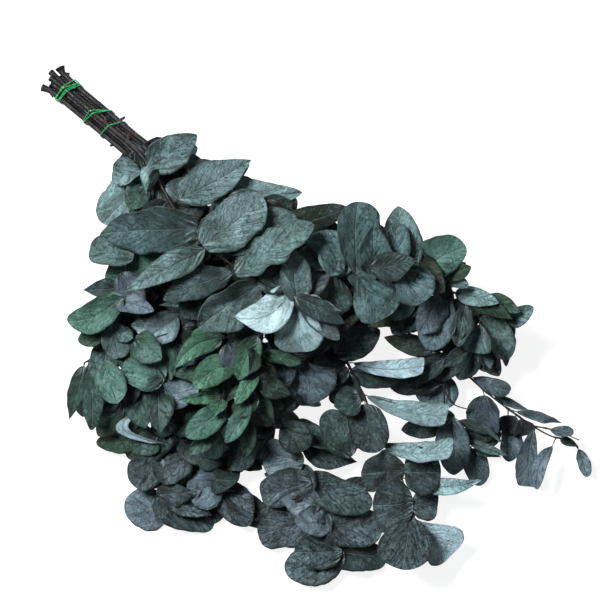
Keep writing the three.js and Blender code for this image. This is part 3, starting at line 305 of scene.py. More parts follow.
            (475, 367, 511, 391, -6, 18, SPOON, {"fold": 12}, SLATE),
            (482, 391, 491, 436, -12, 36, ROUND, {"fold": 16}, SLATE),
            (488, 391, 531, 411, -4, 8, LANCE, {"roll": 35}, BLUE),
            (508, 411, 511, 463, -12, 26, OVAL, {"fold": 20}, SLATE),
            (511, 409, 564, 424, -4, 10, LANCE, {"roll": 35}, SLATE),
            (535, 428, 532, 488, -10, 25, BLUNT, {"fold": 14}, SLATE),
            (548, 428, 574, 434, 1, 13, SPOON, {"fold": 12}, BLUE),
            (557, 440, 537, 490, -8, 16, OVAL, {"bend": -0.1, "fold": 18}, BLUE),
            (581, 450, 589, 478, -4, 14, SPOON, {"fold": 12}, BLUE),
            (560, 440, 580, 447, 3, 10, LANCE, {"bow": 0.2, "fold": 20}, DARK),
            (450, 364, 428, 407, -8, 44, ROUND, {"fold": 10}, SLATE),
            (442, 360, 401, 384, -4, 28, OVAL, {"fold": 14}, DARK),
            (446, 422, 455, 476, -6, 36, OVAL, {"fold": 12}, SLATE),
            (443, 420, 402, 431, -6, 28, OVAL, {"fold": 12}, DARK),
            (443, 423, 506, 446, -2, 10, LANCE, {"bend": 0.08, "roll": 20}, DARK),
            (463, 440, 508, 456, 2, 10, LANCE, {"fold": 14}, TEAL),
            (473, 451, 503, 458, 1, 8, LANCE, {"fold": 14}, DARK),
            (475, 452, 481, 487, -6, 28, ROUND, {"fold": 14}, SLATE),
            (440, 352, 384, 337, 2, 22, LANCE, {"fold": -12}, BROWN),
        ],
        "fillers": {"from": 0.2, "to": 0.66, "step": 40, "length": (46, 60), "width": (28, 40)},
    },
    "stem_low_middle": {
        "across": 1, "up": -1, "cut": 4,
        "route": [(204, 218, 38), (262, 276, 40), (312, 322, 42), (340, 346, 42), (353, 375, 40),
                  (366, 397, 38), (380, 441, 35), (400, 466, 31), (408, 500, 26), (415, 538, 19)],
        "twigs": [
            ((380, 441, 35), (362, 447, 28), (344, 453, 22)),
        ],
        "leaves": [
            (344, 364, 424, 366, 12, 21, BLUNT, {"roll": -30}, PALE),
            (362, 395, 447, 416, 12, 25, BLUNT, {"roll": -28}, PALE),
            (374, 443, 452, 450, 12, 24, BLUNT, {"roll": -24}, PALE),
            (410, 515, 452, 556, 12, 46, FAN, {"fold": 14}, PALE),
            (402, 477, 482, 480, 12, 18, LANCE, {"bend": -0.12, "twist": 30}, PALE),
            (364, 396, 374, 453, -8, 48, ROUND, {"fold": 12}, STONE),
            (402, 469, 361, 474, -5, 54, ROUND, {"fold": 10}, STONE),
            (402, 470, 441, 472, -7, 50, ROUND, {"fold": 10}, STONE),
            (409, 503, 373, 506, -5, 44, ROUND, {"fold": 8}, STONE),
            (409, 504, 438, 508, -8, 38, ROUND, {"fold": 12}, STONE),
            (410, 517, 402, 569, -6, 54, SPOON, {"fold": 10}, STONE),
            (352, 372, 402, 379, -6, 28, OVAL, {"fold": 12}, DARK),
            (342, 348, 380, 330, -4, 34, OVAL, {"fold": 12}, DARK),
            (350, 366, 346, 404, -8, 27, SPOON, {"fold": 12}, DARK),
            (366, 396, 334, 406, -12, 28, OVAL, {"fold": 12}, DARK),
            (408, 506, 378, 532, -4, 32, OVAL, {"fold": 12}, DARK),
            (344, 440, 326, 411, 6, 35, ROUND, {"fold": 10}, DARK),
        ],
        "fillers": {"from": 0.2, "to": 0.8, "step": 40, "length": (44, 58), "width": (26, 40)},
    },
    "stem_low": {
        "across": -1, "up": -1, "cut": 12,
        "route": [(184, 220, 36), (222, 290, 40), (256, 332, 42), (269, 374, 42), (280, 400, 36),
                  (288, 420, 30), (290, 436, 27), (299, 462, 24), (309, 486, 21), (321, 506, 19),
                  (327, 528, 17), (338, 555, 13)],
        "twigs": [
            ((284, 410, 33), (258, 443, 26), (236, 459, 18)),
        ],
        "leaves": [
            (267, 349, 292, 366, 4, 16, LANCE, {"roll": 45}, PALE),
            (273, 379, 321, 406, 0, 19, OVAL, {"roll": 45}, PALE),
            (266, 344, 290, 342, 4, 9, LANCE, {"roll": 20}, PALE),
            (299, 461, 264, 453, 4, 36, ROUND, {"fold": 12}, MIST),
            (307, 481, 264, 475, -4, 22, OVAL, {"roll": 20}, STONE),
            (307, 484, 261, 497, -6, 37, ROUND, {"fold": 12}, STONE),
            (310, 482, 372, 507, -6, 38, ROUND, {"bend": -0.03, "fold": 12}, STONE),
            (315, 494, 362, 500, 2, 30, OVAL, {"fold": 10}, STONE),
            (320, 505, 282, 498, 5, 28, OVAL, {"fold": 12}, MIST),
            (325, 520, 258, 537, -4, 45, ROUND, {"fold": 10}, STONE),
            (328, 522, 383, 530, -2, 37, ROUND, {"fold": 10}, STONE),
            (337, 554, 285, 573, -6, 44, ROUND, {"fold": 8}, STONE),
            (336, 552, 294, 553, 4, 34, OVAL, {"fold": 14}, STONE),
            (340, 556, 387, 561, -4, 33, ROUND, {"fold": 8}, DARK),
            (325, 526, 295, 520, 8, 27, ROUND, {"fold": 12}, MIST),
            (290, 421, 338, 452, 0, 25, LANCE, {"fold": 18}, DARK),
            (293, 442, 358, 463, -6, 26, LANCE, {"fold": 14}, STONE),
            (236, 459, 262, 470, -6, 20, OVAL, {"fold": 14}, DARK),
            (258, 443, 270, 415, -6, 26, OVAL, {"fold": 14}, DARK),
            (268, 431, 250, 414, -4, 24, OVAL, {"fold": 14}, DARK),
            (250, 449, 228, 470, -6, 26, OVAL, {"fold": 14}, DARK),
            (284, 404, 296, 392, 2, 22, ROUND, {"fold": 12}, DARK),
        ],
        "fillers": {"from": 0.2, "to": 0.62, "step": 44, "length": (40, 56), "width": (24, 38)},
    },
    "stem_low_left": {
        "across": -3, "up": -1, "cut": 6,
        "route": [(162, 214, 34), (168, 290, 34), (166, 350, 30), (162, 400, 25), (157, 440, 19),
                  (156, 466, 14), (160, 494, 7), (163, 512, 1.5)],
        "twigs": [
            ((162, 400, 25), (178, 440, 20), (204, 470, 14), (219, 490, 9)),
        ],
        "leaves": [
            (163, 512, 123, 505, -1, 43, ROUND, {"still": True}, BLUE),
            (163, 513, 213, 528, 4, 34, ROUND, {"fold": 14}, STONE),
            (157, 462, 134, 488, -4, 37, ROUND, {"fold": 10}, STONE),
            (157, 460, 190, 478, 2, 32, ROUND, {"fold": 12}, STONE),
            (216, 484, 188, 496, 4, 37, ROUND, {"fold": 12}, BLUE),
            (216, 485, 173, 492, -4, 28, OVAL, {"fold": 10}, STONE),
            (219, 490, 249, 527, -4, 37, OVAL, {"fold": 12}, STONE),
            (212, 478, 238, 480, 2, 22, OVAL, {"fold": 14}, DARK),
            (165, 508, 212, 516, -2, 12, LANCE, {"fold": 14}, STONE),
            (157, 438, 95, 444, -8, 26, OVAL, {"fold": 12}, DEEP),
            (158, 434, 132, 452, -14, 26, OVAL, {"fold": 12}, TIDE),
            (160, 436, 164, 464, 6, 40, ROUND, {"bow": 0.2, "fold": -12}, PALE),
            (170, 422, 152, 414, 4, 30, ROUND, {"fold": 12}, SEA),
            (176, 436, 184, 410, 0, 28, OVAL, {"fold": 12}, TIDE),
            (192, 458, 222, 464, -2, 20, OVAL, {"fold": 12}, DARK),
            (202, 468, 206, 438, -4, 26, OVAL, {"fold": 14}, DARK),
            (160, 496, 192, 492, -3, 26, OVAL, {"fold": 12}, STONE),
        ],
        "fillers": {"from": 0.28, "to": 0.8, "step": 40, "length": (38, 52), "width": (24, 36)},
    },
    "stem_under": {
        "across": 0, "up": -2, "cut": 3,
        "route": [(188, 226, 22), (216, 290, 20), (238, 350, 18), (240, 410, 15), (222, 452, 11)],
        "twigs": [
            ((216, 290, 20), (256, 340, 18), (300, 372, 16), (336, 388, 14)),
        ],
        "leaves": [],
        "fillers": {"from": 0.26, "to": 0.99, "step": 38, "length": (44, 58), "width": (28, 42)},
    },
}

# ---------------------------------------------------------------- plan, draws and lines

LENGTH_STEPS = 200
LOOK_AHEAD = 0.01        # of a line's length
SEED_FACTOR = 48271
DRAW_FACTOR = 16807
DRAW_LIMIT = 2147483647
COS_TURN = math.cos(PLAN_TURN)
SIN_TURN = math.sin(PLAN_TURN)
UP = np.array([0.0, 0.0, 1.0])


def to_bunch(point):
    """A plan point in the bunch's own axes, in millimetres."""
    right, down, height = point
    dx = right - ORIGIN_PLAN[0]
    dy = down - ORIGIN_PLAN[1]
    return np.array([COS_TURN * dx + SIN_TURN * dy, SIN_TURN * dx - COS_TURN * dy, float(height)])


def to_plan(point):
    """Where a point of the bunch lies in plan."""
    right = ORIGIN_PLAN[0] + COS_TURN * point[0] + SIN_TURN * point[1]
    down = ORIGIN_PLAN[1] + SIN_TURN * point[0] - COS_TURN * point[1]
    return right, down


def make_draw(seed):
    """The same draws each time, from 0 to 1."""
    state = seed * SEED_FACTOR

    def draw():
        nonlocal state
        state = (state * DRAW_FACTOR) % DRAW_LIMIT
        return state / DRAW_LIMIT

    return draw


def between(limits, share):
    """The value this share of the way from the first limit to the second."""
    return limits[0] + (limits[1] - limits[0]) * share


def unit(vector):
    return vector / np.linalg.norm(vector)


class Shoot:
    """A stem's line: a cubic B-spline that starts and ends at its first and last points."""

    def __init__(self, points):
        before = 2 * points[0] - points[1]
        after = 2 * points[-1] - points[-2]
        self.points = [before, *points, after]
        self.spans = len(points) - 1

    def at(self, share):
        along = min(share, 1) * self.spans
        index = min(math.floor(along), self.spans - 1)
        t = along - index
        weights = (
            (1 - t) ** 3 / 6,
            (3 * t**3 - 6 * t**2 + 4) / 6,
            (-3 * t**3 + 3 * t**2 + 3 * t + 1) / 6,
            t**3 / 6,
        )
        return sum(weight * self.points[index + k] for k, weight in enumerate(weights))

    def places(self, shares):
        return np.array([self.at(share) for share in shares])

    def length(self):
        points = self.places([k / LENGTH_STEPS for k in range(LENGTH_STEPS + 1)])
        return float(np.linalg.norm(np.diff(points, axis=0), axis=1).sum())

    def heading(self, share):
        """Which way the line runs in plan, as an angle in radians."""
        ahead = self.at(share + LOOK_AHEAD) - self.at(share)
        return math.atan2(ahead[1], ahead[0])


handle_start = to_bunch(HANDLE_START)
handle_end = to_bunch(HANDLE_END)
handle_along = unit(handle_end - handle_start)
handle_across = -unit(np.cross(handle_along, UP))
handle_up = unit(np.cross(handle_along, handle_across))
HANDLE_LENGTH = float(np.linalg.norm(handle_end - handle_start))
HANDLE_PLACES = (-5, 10, 0.66 * HANDLE_LENGTH, HANDLE_LENGTH)
HANDLE_RINGS = (0, 1, 1.6, 3.2, 4)
HANDLE_SPANS = 4
ROW_HEIGHT = STEM_PITCH * math.sqrt(3) / 2


def handle_point(along, across, up):
    return handle_start + handle_along * along + handle_across * across + handle_up * up


def handle_place(point):
    """How far a point lies along, across and up from the handle's start."""
    away = point - handle_start
    return np.array([away @ handle_along, away @ handle_across, away @ handle_up])


class Wood:
    """A stem or twig: its line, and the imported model's rings on it, straight from ring to ring."""

    def __init__(self, line, shares, radius_at):
        self.line = line
        self.radius_at = radius_at
        self.rings = [line.at(share) for share in shares]
        steps = [step / WOOD_STEPS for step in range(WOOD_STEPS)]
        pairs = list(zip(self.rings, self.rings[1:]))
        self.middle = np.array([a + (b - a) * step for a, b in pairs for step in steps])


def stem_wood(stem):
    across = stem["across"] * STEM_PITCH / 2
    up = stem["up"] * ROW_HEIGHT
    cut_end = handle_point(-stem["cut"], across * CUT_FLARE, up)
    handle = [handle_point(along, across, up) for along in HANDLE_PLACES]
    line = Shoot([cut_end, *handle, *[to_bunch(point) for point in stem["route"]]])
    neck = HANDLE_SPANS / line.spans
    count = math.ceil(line.length() * (1 - neck) / RING_SPACING)
    shares = [span / line.spans for span in HANDLE_RINGS]
    shares += [neck + (1 - neck) * (k + 1) / count for k in range(count)]

    def radius_at(share):
        left = min((1 - share) / (1 - neck), 1)
        return TIP_RADIUS + (STEM_RADIUS - TIP_RADIUS) * left

    return Wood(line, shares, radius_at)


def twig_wood(route, woods):
    line = Shoot([nearest_wood(woods, route[0]), *[to_bunch(point) for point in route[1:]]])
    count = math.ceil(line.length() / RING_SPACING)
    shares = [k / count for k in range(count + 1)]
    return Wood(line, shares, lambda share: TWIG_RADIUS + (TIP_RADIUS - TWIG_RADIUS) * share)


def nearest_wood(woods, plan_point):
    """The middle of the wood that is nearest a plan point."""
    goal = to_bunch((plan_point[0], plan_point[1], 0))
    middles = np.concatenate([wood.middle for wood in woods])
    distances = np.hypot(middles[:, 0] - goal[0], middles[:, 1] - goal[1])
    return middles[int(np.argmin(distances))]


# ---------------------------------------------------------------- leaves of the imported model

LEAF_SEED = 17
FILLER_SEED = 101
TIP_VARIES = (-14, 12)
ROLL_VARIES = (-24, 24)
FORM = {"roll": 0, "fold": 12, "bow": 0.08, "bend": 0, "twist": 0}
SMALL_WIDTH = 28
CLASP_RISE = -7          # blades that rise more than this, and aren't narrow, reach over their stem
CLASP_WIDTH = 22
TWIG_FIRST = 0.15        # of a twig's length is bare of filler leaves
FILLER_ANGLES = (45, 100)
FILLER_RISES = (-14, 8)
FILLER_ROLLS = (-25, 25)
FILLER_FOLDS = (6, 20)
# Filler leaves lie deep in the bunch and take a darker share of the nearest listed tone: painted shade.
FILLER_SHADE_SHARES = (0.6, 0.95)  # of the nearest listed leaf's tone
RIM_LIFT = 1.4           # the power of v by which a folded blade's sides rise
LARGE_CORNERS = [
    (0.16, -1), (0.46, -1), (0.8, -1), (1, 0), (0.8, 1), (0.46, 1), (0.16, 1), (0.3, 0), (0.66, 0),
]
SMALL_CORNERS = [(0.3, -1), (0.74, -1), (1, 0), (0.74, 1), (0.3, 1), (0.5, 0)]
CORNER_STEP = 0.02       # how far a corner's two directions are taken from it, in u and v


def make_leaf(joint, tip, width, outline, form):
    root = joint + unit(tip - joint) * ROOT_OFFSET
    return {"joint": joint, "root": root, "base": root, "tip": tip, "width": width, "outline": outline,
            "clasps": False, "listed": False, "tone": None, **FORM, **form}


def outward(joint, angle, reach, rise):
    """The point that lies this far from a joint, in plan and in height."""
    return joint + np.array([reach * math.cos(angle), reach * math.sin(angle), rise])


def listed_leaves(stem, woods):
    """The stem's listed leaves, as they are before they give way."""
    draw = make_draw(LEAF_SEED)
    leaves = []
    for base_right, base_down, tip_right, tip_down, rise, width, outline, form, tone in stem["leaves"]:
        joint = nearest_wood(woods, (base_right, base_down))
        vary = 0 if form.get("still") else 1
        tip_height = joint[2] + rise + vary * between(TIP_VARIES, draw())
        tip = to_bunch((tip_right, tip_down, max(tip_height, TABLE_CLEAR)))
        roll = form.get("roll", 0) + vary * between(ROLL_VARIES, draw())
        full = width / math.sqrt(math.cos(math.radians(roll)))
        leaf = make_leaf(joint, tip, full, outline, {**form, "roll": roll})
        leaf["corners"] = SMALL_CORNERS if full < SMALL_WIDTH else LARGE_CORNERS
        leaf["tone"] = tone
        leaf["listed"] = True
        leaf["clasps"] = rise > CLASP_RISE and width >= CLASP_WIDTH and outline in (ROUND, OVAL, SPOON)
        leaves.append(leaf)
    return leaves


def filler_leaves(stem, woods, seed):
    """Seeded pairs of leaves along the stem and its twigs."""
    fillers = stem["fillers"]
    draw = make_draw(seed)
    leaves = []
    for wood in woods:
        first = fillers["from"] if wood is woods[0] else TWIG_FIRST
        count = math.floor(wood.line.length() * (fillers["to"] - first) / fillers["step"] + 0.5)
        for k in range(count):
            share = first + (fillers["to"] - first) * k / count
            joint = nearest_wood([wood], to_plan(wood.line.at(share)))
            for side in (-1, 1):
                angle = wood.line.heading(share) + side * math.radians(between(FILLER_ANGLES, draw()))
                reach = between(fillers["length"], draw())
                tip = outward(joint, angle, reach, between(FILLER_RISES, draw()))
                form = {"roll": between(FILLER_ROLLS, draw()), "fold": between(FILLER_FOLDS, draw())}
                leaf = make_leaf(joint, tip, between(fillers["width"], draw()), OVAL, form)
                leaf["corners"] = SMALL_CORNERS
                leaves.append(leaf)
    return leaves


BASE_SHIFT = 0.012       # of a leaf's length, for each millimetre of lift on its stalk
BASE_SHIFT_MOST = 0.24


def adjusted(leaf, choice):
    """The same leaf lifted on its stalk, its tip lifted further and its blade rolled."""
    lift, tilt, turn = choice
    tip = leaf["tip"].copy()
    base = leaf["root"] + (tip - leaf["root"]) * min(BASE_SHIFT * abs(lift), BASE_SHIFT_MOST)
    base[2] = max(leaf["root"][2] + lift, TABLE_CLEAR)
    tip[2] = max(tip[2] + lift + tilt, TABLE_CLEAR)
    return {**leaf, "base": base, "tip": tip, "roll": leaf["roll"] + turn}


def laid_flat(leaf):
    """The same leaf flat on the surface: the face that the bunch rests on."""
    base = leaf["base"].copy()
    tip = leaf["tip"].copy()
    base[2] = TABLE_CLEAR
    tip[2] = TABLE_CLEAR
    return {**leaf, "base": base, "tip": tip, "roll": 0, "fold": 0, "bow": 0}


# How a packed leaf may have given way: millimetres of lift and of tilt at the tip, and degrees of roll. The
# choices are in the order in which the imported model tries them.
LIFTS = (0, -3, 3, -6, 6, -10, 10, -15, 15, -20, 20, -26, 26)
TILTS = (0, -7, 7, -14, 14, -22, 22)
TURNS = (0, 18, -18)
TILT_EFFORT = 0.6
TURN_EFFORT = 0.3
CHOICES = [(lift, tilt, turn) for lift in LIFTS for tilt in TILTS for turn in TURNS]
CHOICES.sort(key=lambda c: abs(c[0]) + TILT_EFFORT * abs(c[1]) + TURN_EFFORT * abs(c[2]))


def half_width(outline, u):
    """A blade's half width at u, from 0 at its ends to 1 where it is widest."""
    a, b = outline
    widest = a / (a + b)
    return (u / widest) ** a * ((1 - u) / (1 - widest)) ** b


def blade_axes(leaf, place):
    """A blade's axes: along it, level across it and over it, then its own side and face at each place."""
    chord = leaf["tip"] - leaf["base"]
    along = chord / np.linalg.norm(chord)
    level = unit(np.cross(UP, along))
    over = np.cross(along, level)
    roll = np.radians(leaf["roll"] + leaf["twist"] * (place - 0.5))[:, None]
    side = level * np.cos(roll) + over * np.sin(roll)
    face = over * np.cos(roll) - level * np.sin(roll)
    return along, level, over, side, face


def blade_length(leaf):
    return np.linalg.norm(leaf["tip"] - leaf["base"])


def blade_points(leaf, u, v):
    """Points of a packed blade's middle surface, for arrays u from base to tip and v from rim to rim."""
    length = blade_length(leaf)
    along, level, over, side, face = blade_axes(leaf, u)
    blade = leaf["width"] / 2 * half_width(leaf["outline"], u)
    half = np.hypot(blade, BLADE_ROOT * (1 - u) ** 3)
    arch = (4 * u * (1 - u) * length)[:, None]
    fold = math.radians(leaf["fold"])
    lean = half * np.abs(v) ** RIM_LIFT * math.sin(fold)
    points = leaf["base"] + along * (length * u)[:, None] + side * (half * v * math.cos(fold))[:, None]
    points = points + face * lean[:, None] + over * leaf["bow"] * arch + level * leaf["bend"] * arch
    points[:, 2] = np.maximum(points[:, 2], TABLE_CLEAR)
    return points


def packed_corners(leaf):
    """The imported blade's corners on both of its faces."""
    step = CORNER_STEP
    u = np.array([corner[0] for corner in leaf["corners"]], float)
    v = np.array([corner[1] for corner in leaf["corners"]], float)
    low = np.maximum(u - step, 0)
    high = np.minimum(u + step, 1)
    mid = (low + high) / 2
    far_v = np.minimum(v + step, 1)
    near_v = np.maximum(v - step, -1)
    ahead = blade_points(leaf, high, v) - blade_points(leaf, low, v)
    aside = blade_points(leaf, mid, far_v) - blade_points(leaf, mid, near_v)
    normal = np.cross(ahead, aside)
    normal = normal / np.linalg.norm(normal, axis=1)[:, None]
    middle = blade_points(leaf, u, v)
    corners = np.concatenate([middle + normal * TABLE_CLEAR, middle - normal * TABLE_CLEAR])
    corners[:, 2] = np.maximum(corners[:, 2], 0)
    return corners


def corner_finder(node):
    """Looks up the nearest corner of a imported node."""
    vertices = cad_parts[node].data.vertices
    tree = KDTree(len(vertices))
    for index, vertex in enumerate(vertices):
        tree.insert(vertex.co / MM, index)
    tree.balance()
    return lambda point: tree.find(Vector(point))[2]


FOUND_NEAR = 0.06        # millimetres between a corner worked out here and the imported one
FOUND_SHARE = 0.6        # of a leaf's corners


def as_packed(leaf, distance_to_corner):
    """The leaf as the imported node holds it, or None if it found no room there."""
    if leaf.get("still"):
        return laid_flat(leaf)
    for choice in CHOICES:
        candidate = adjusted(leaf, choice)
        if distance_to_corner(candidate["tip"]) > TABLE_CLEAR + 2 * FOUND_NEAR:
            continue
        corners = packed_corners(candidate)
        found = sum(distance_to_corner(corner) < FOUND_NEAR for corner in corners)
        if found >= FOUND_SHARE * len(corners):
            return candidate
    return None


# ---------------------------------------------------------------- fine meshes

FINE_FOLD = 1.6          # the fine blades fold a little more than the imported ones
HALF_SHEET = 0.22        # half a fine blade's thickness, millimetres
STALK_SHARE = 0.05       # of the leaf's length is bare stalk before the blade
CLASP = 7                # millimetres that a clasping blade reaches past its stem
CLASP_LIFT = 3.4         # over the stem's middle
CLASP_REACH = 11
FINE_V = (0, 0.05, 0.13, 0.27, 0.43, 0.6, 0.76, 0.9, 1)
COARSE_V = (0, 0.1, 0.4, 0.72, 1)
FINE_ROWS = 26
COARSE_ROWS = 13
MIDRIB_DEPTH = 0.35
MIDRIB_WIDTH = 0.06
BLUNT_BEND = -0.055      # a blunt blade sags, so that its upper side is nearly straight
BLUNT_END = 0.5          # of the outline's end power: its end is cut nearly square
BLUNT_SHARES = (0.3, 0.5, 0.3)  # of the rim waves, the crumple and the curl, for a blunt blade
SHAPE_SEED = 4001
OUTLINE_VARIES = (0.8, 1.3)
TWIST_VARIES = (-22, 22)     # degrees from base to tip
BEND_VARIES = (-0.035, 0.035)
SIDE_VARIES = (-0.1, 0.1)    # how much wider one side is than the other
RIM_WAVES = (0.05, 0.24)     # of the half width
RIM_WAVE_LENGTHS = (22, 48)  # millimetres
CURLS = (-0.42, 0.2)         # of the half width: most rims turn down
CRUMPLE = 0.035
CRUMPLE_LENGTHS = (9, 13, 17, 26)
CRUMPLE_HALF = 4             # millimetres: a narrower blade crumples no more than this one
RAGS = ((0.05, 0.7, 2.1), (0.016, 3.1, 1.3))  # depth, beats for each rim wave, turn from side to side
MAP_SIZE = 100.0             # millimetres to one unit along a blade's or a bark's map


def linear(colour):
    """An sRGB colour from 0 to 255 as the linear colour that a shader takes."""
    shares = [part / 255 for part in colour]
    return [s / 12.92 if s <= 0.04045 else ((s + 0.055) / 1.055) ** 2.4 for s in shares]


class Sheaf:
    """Collects vertices, faces and what each vertex carries, for one mesh object."""

    def __init__(self):
        self.points = []
        self.faces = []
        self.maps = {}
        self.tones = []
        self.chances = []
        self.count = 0

    def add(self, points, faces, maps, tone, chance):
        first = self.count
        self.points.append(points)
        self.faces += [[first + index for index in face] for face in faces]
        for name, places in maps.items():
            self.maps.setdefault(name, []).append(places)
        tones = np.ones((len(points), 4))
        tones[:, :np.shape(tone)[-1]] = tone
        self.tones.append(tones)
        self.chances.append(np.full(len(points), chance))
        self.count += len(points)

    def build(self, name, material):
        mesh = bpy.data.meshes.new(name)
        points = np.concatenate(self.points) * MM
        mesh.from_pydata(points.tolist(), [], self.faces)
        mesh.shade_smooth()
        corner_of = np.zeros(len(mesh.loops), np.int32)
        mesh.loops.foreach_get("vertex_index", corner_of)
        for map_name, places in self.maps.items():
            layer = mesh.uv_layers.new(name=map_name)
            layer.data.foreach_set("uv", flat(np.concatenate(places)[corner_of]))
        tone = mesh.attributes.new("tone", "FLOAT_COLOR", "POINT")
        tone.data.foreach_set("color", flat(np.concatenate(self.tones)))
        chance = mesh.attributes.new("chance", "FLOAT", "POINT")
        chance.data.foreach_set("value", flat(np.concatenate(self.chances)))
        mesh.materials.append(material)
        piece = bpy.data.objects.new(name, mesh)
        bpy.context.scene.collection.objects.link(piece)
        return piece


def flat(values):
    return values.astype(np.float32).ravel()


def grid_faces(rows, columns):
    """Quads over a grid of rows + 1 by columns + 1 points."""
    faces = []
    for i in range(rows):
        for j in range(columns):
            a = i * (columns + 1) + j
            faces.append((a, a + 1, a + columns + 2, a + columns + 1))
    return faces


def blade_grid(leaf):
    """How many rows of points a fine blade has, and where v lies along each row."""
    rows, half_row = (FINE_ROWS, FINE_V) if leaf["listed"] else (COARSE_ROWS, COARSE_V)
    return rows, np.array([-v for v in reversed(half_row[1:])] + list(half_row))


def varied(leaf, draw):
    """The leaf with an outline, a twist and a bend that aren't quite those of its kind."""
    a, b = leaf["outline"]
    outline = (a * between(OUTLINE_VARIES, draw()), b * between(OUTLINE_VARIES, draw()))
    twist = leaf["twist"] + between(TWIST_VARIES, draw())
    bend = leaf["bend"] + between(BEND_VARIES, draw())
    if leaf["outline"] == BLUNT:
        outline = (BLUNT[0], BLUNT[1] * BLUNT_END)
        bend += BLUNT_BEND
    return {**leaf, "outline": outline, "twist": twist, "bend": bend}


def relief(u, v, half, length, blunt, draw):
    """How high each point lies over the blade, of the local half width, and how ragged the outline is."""
    side = np.where(v < 0, 0, 1)
    turn = 2 * math.pi
    phases = [turn * draw() for _ in range(8)]
    waves = length / between(RIM_WAVE_LENGTHS, draw())
    size = between(RIM_WAVES, draw())
    rim = size * np.abs(v) ** 2 * np.sin(turn * waves * u + np.array(phases[:2])[side])
    curls = np.array([between(CURLS, draw()), between(CURLS, draw())])
    curl = curls[side] * np.abs(v) ** 3
    crumple = 0
    for phase, step in zip(phases[2:6], CRUMPLE_LENGTHS):
        heading = turn * draw()
        across = u * length * math.cos(heading) + v * half * math.sin(heading)
        crumple = crumple + np.sin(turn * across / step + phase) * step
    crumple = CRUMPLE * crumple / np.maximum(half, CRUMPLE_HALF)
    groove = -MIDRIB_DEPTH * np.exp(-((v / MIDRIB_WIDTH) ** 2)) / np.maximum(half, 2)
    if blunt:
        rim = BLUNT_SHARES[0] * rim
        crumple = BLUNT_SHARES[1] * crumple
        curl = BLUNT_SHARES[2] * curl
    wave = (rim + crumple + groove + curl) * np.sin(math.pi * u) ** 0.5
    ragged = 1
    for (depth, beats, shift), phase in zip(RAGS, phases[6:]):
        ragged = ragged + depth * np.sin(turn * beats * waves * u + phase + shift * side)
    return wave, ragged * (1 + between(SIDE_VARIES, draw()) * np.sign(v))


def add_blade(sheaf, leaf, draw):
    """A fine blade: a sheet with a sunk midrib, rolling rims and an outline that isn't quite even."""
    rows, v_row = blade_grid(leaf)
    columns = len(v_row) - 1
    u_rows = (1 - np.cos(math.pi * (np.arange(rows) / rows))) / 2
    u = np.append(np.repeat(u_rows, columns + 1), 1.0)
    v = np.append(np.tile(v_row, rows), 0.0)
    length = float(blade_length(leaf))
    bent = varied(leaf, draw)
    half = leaf["width"] / 2 * half_width(bent["outline"], u)
    wave, ragged = relief(u, v, half, length, leaf["outline"] == BLUNT, draw)
    faces = grid_faces(rows - 1, columns)
    last = (rows - 1) * (columns + 1)
    faces += [(last + j, last + j + 1, len(u) - 1) for j in range(columns)]
    maps = {
        "blade": np.stack([u * length, v * half], axis=1) / MAP_SIZE,
        "rim": np.stack([u, (v + 1) / 2], axis=1),
    }
    sheaf.add(fine_points(bent, u, v, ragged, wave), faces, maps, leaf["linear"], leaf["chance"])


def fine_points(leaf, u, v, ragged, wave):
    """Points of the fine blade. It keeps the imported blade's place, after a short bare stalk."""
    length = blade_length(leaf)
    bare = -CLASP / length if leaf["clasps"] else STALK_SHARE
    place = bare + (1 - bare) * u
    along, level, over, side, face = blade_axes(leaf, place)
    half = leaf["width"] / 2 * half_width(leaf["outline"], u) * ragged
    half = np.hypot(half, STALK_RADIUS * (1 - u) ** 3)
    half[-1] = 0
    inner = np.maximum(place, 0)
    arch = (4 * inner * (1 - inner) * length)[:, None]
    fold = math.radians(leaf["fold"] * FINE_FOLD)
    lean = half * (np.abs(v) ** RIM_LIFT * math.sin(fold) + wave)
    width = half * v * math.cos(math.radians(leaf["fold"]))
    points = leaf["base"] + along * (length * place)[:, None] + side * width[:, None]
    points = points + face * lean[:, None] + over * leaf["bow"] * arch + level * leaf["bend"] * arch
    if leaf["clasps"]:
        points[:, 2] += CLASP_LIFT * np.exp(-((inner * length / CLASP_REACH) ** 2))
    points[:, 2] = np.maximum(points[:, 2], HALF_SHEET)
    return points


# ---------------------------------------------------------------- wood, stubs and stalks

STALK_RADIUS = 0.62
STALK_RIB_U = (0.0, 0.1, 0.35)        # where a stalk runs in its blade's midrib
CLASP_RIB_U = (0.16, 0.25, 0.35)      # the same for a blade that reaches over its stem
STALK_SINK = 0.3
STALK_STEPS = 7
STALK_TAPER = (1.3, 0.8)              # of the stalk's radius, from the wood to the blade
STALK_ENDS = (0.7, 0.35)              # and then along the midrib
WOOD_STEP = 3.5
WOOD_SIDES = 14
TWIG_SIDES = 10
STALK_SIDES = 6
TUBE_ASIDE = (0.31, 0.22, 0.93)       # no tube starts in this direction
WOOD_TONE = (11, 9, 12)
YOUNG_TONE = (46, 42, 42)
STALK_TONE = (88, 82, 78)
STUB_TONE = (74, 52, 46)
WOOD_SLIM = 0.92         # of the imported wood's radius, whose flat sides lie inside it
OLD_RADIUS = 2           # a line that starts thicker than this is a stem, and otherwise a twig
TAPER_LENGTH = 120       # past the handle, over which a stem gets thinner
TAPER = 0.42
CUT_SWELL = 0.36         # the old wood is thicker at its cut end
CUT_SWELLS = {"stem_high_right": 0.8, "stem_high_middle": 0.15}
CUT_SWELL_REACH = 16
NODE_SWELL = 0.4
NODE_REACH = 2.2
UNEVEN = (0.02, 0.3, 9)  # of the wood's radius, waves along it, and how they differ from stem to stem
YOUNG_RADII = (0.8, 2.6)  # thin wood has the young tone, and thick wood the old one
WOOD_RIDGES = 0.025
STUB_RIDGES = 0.06


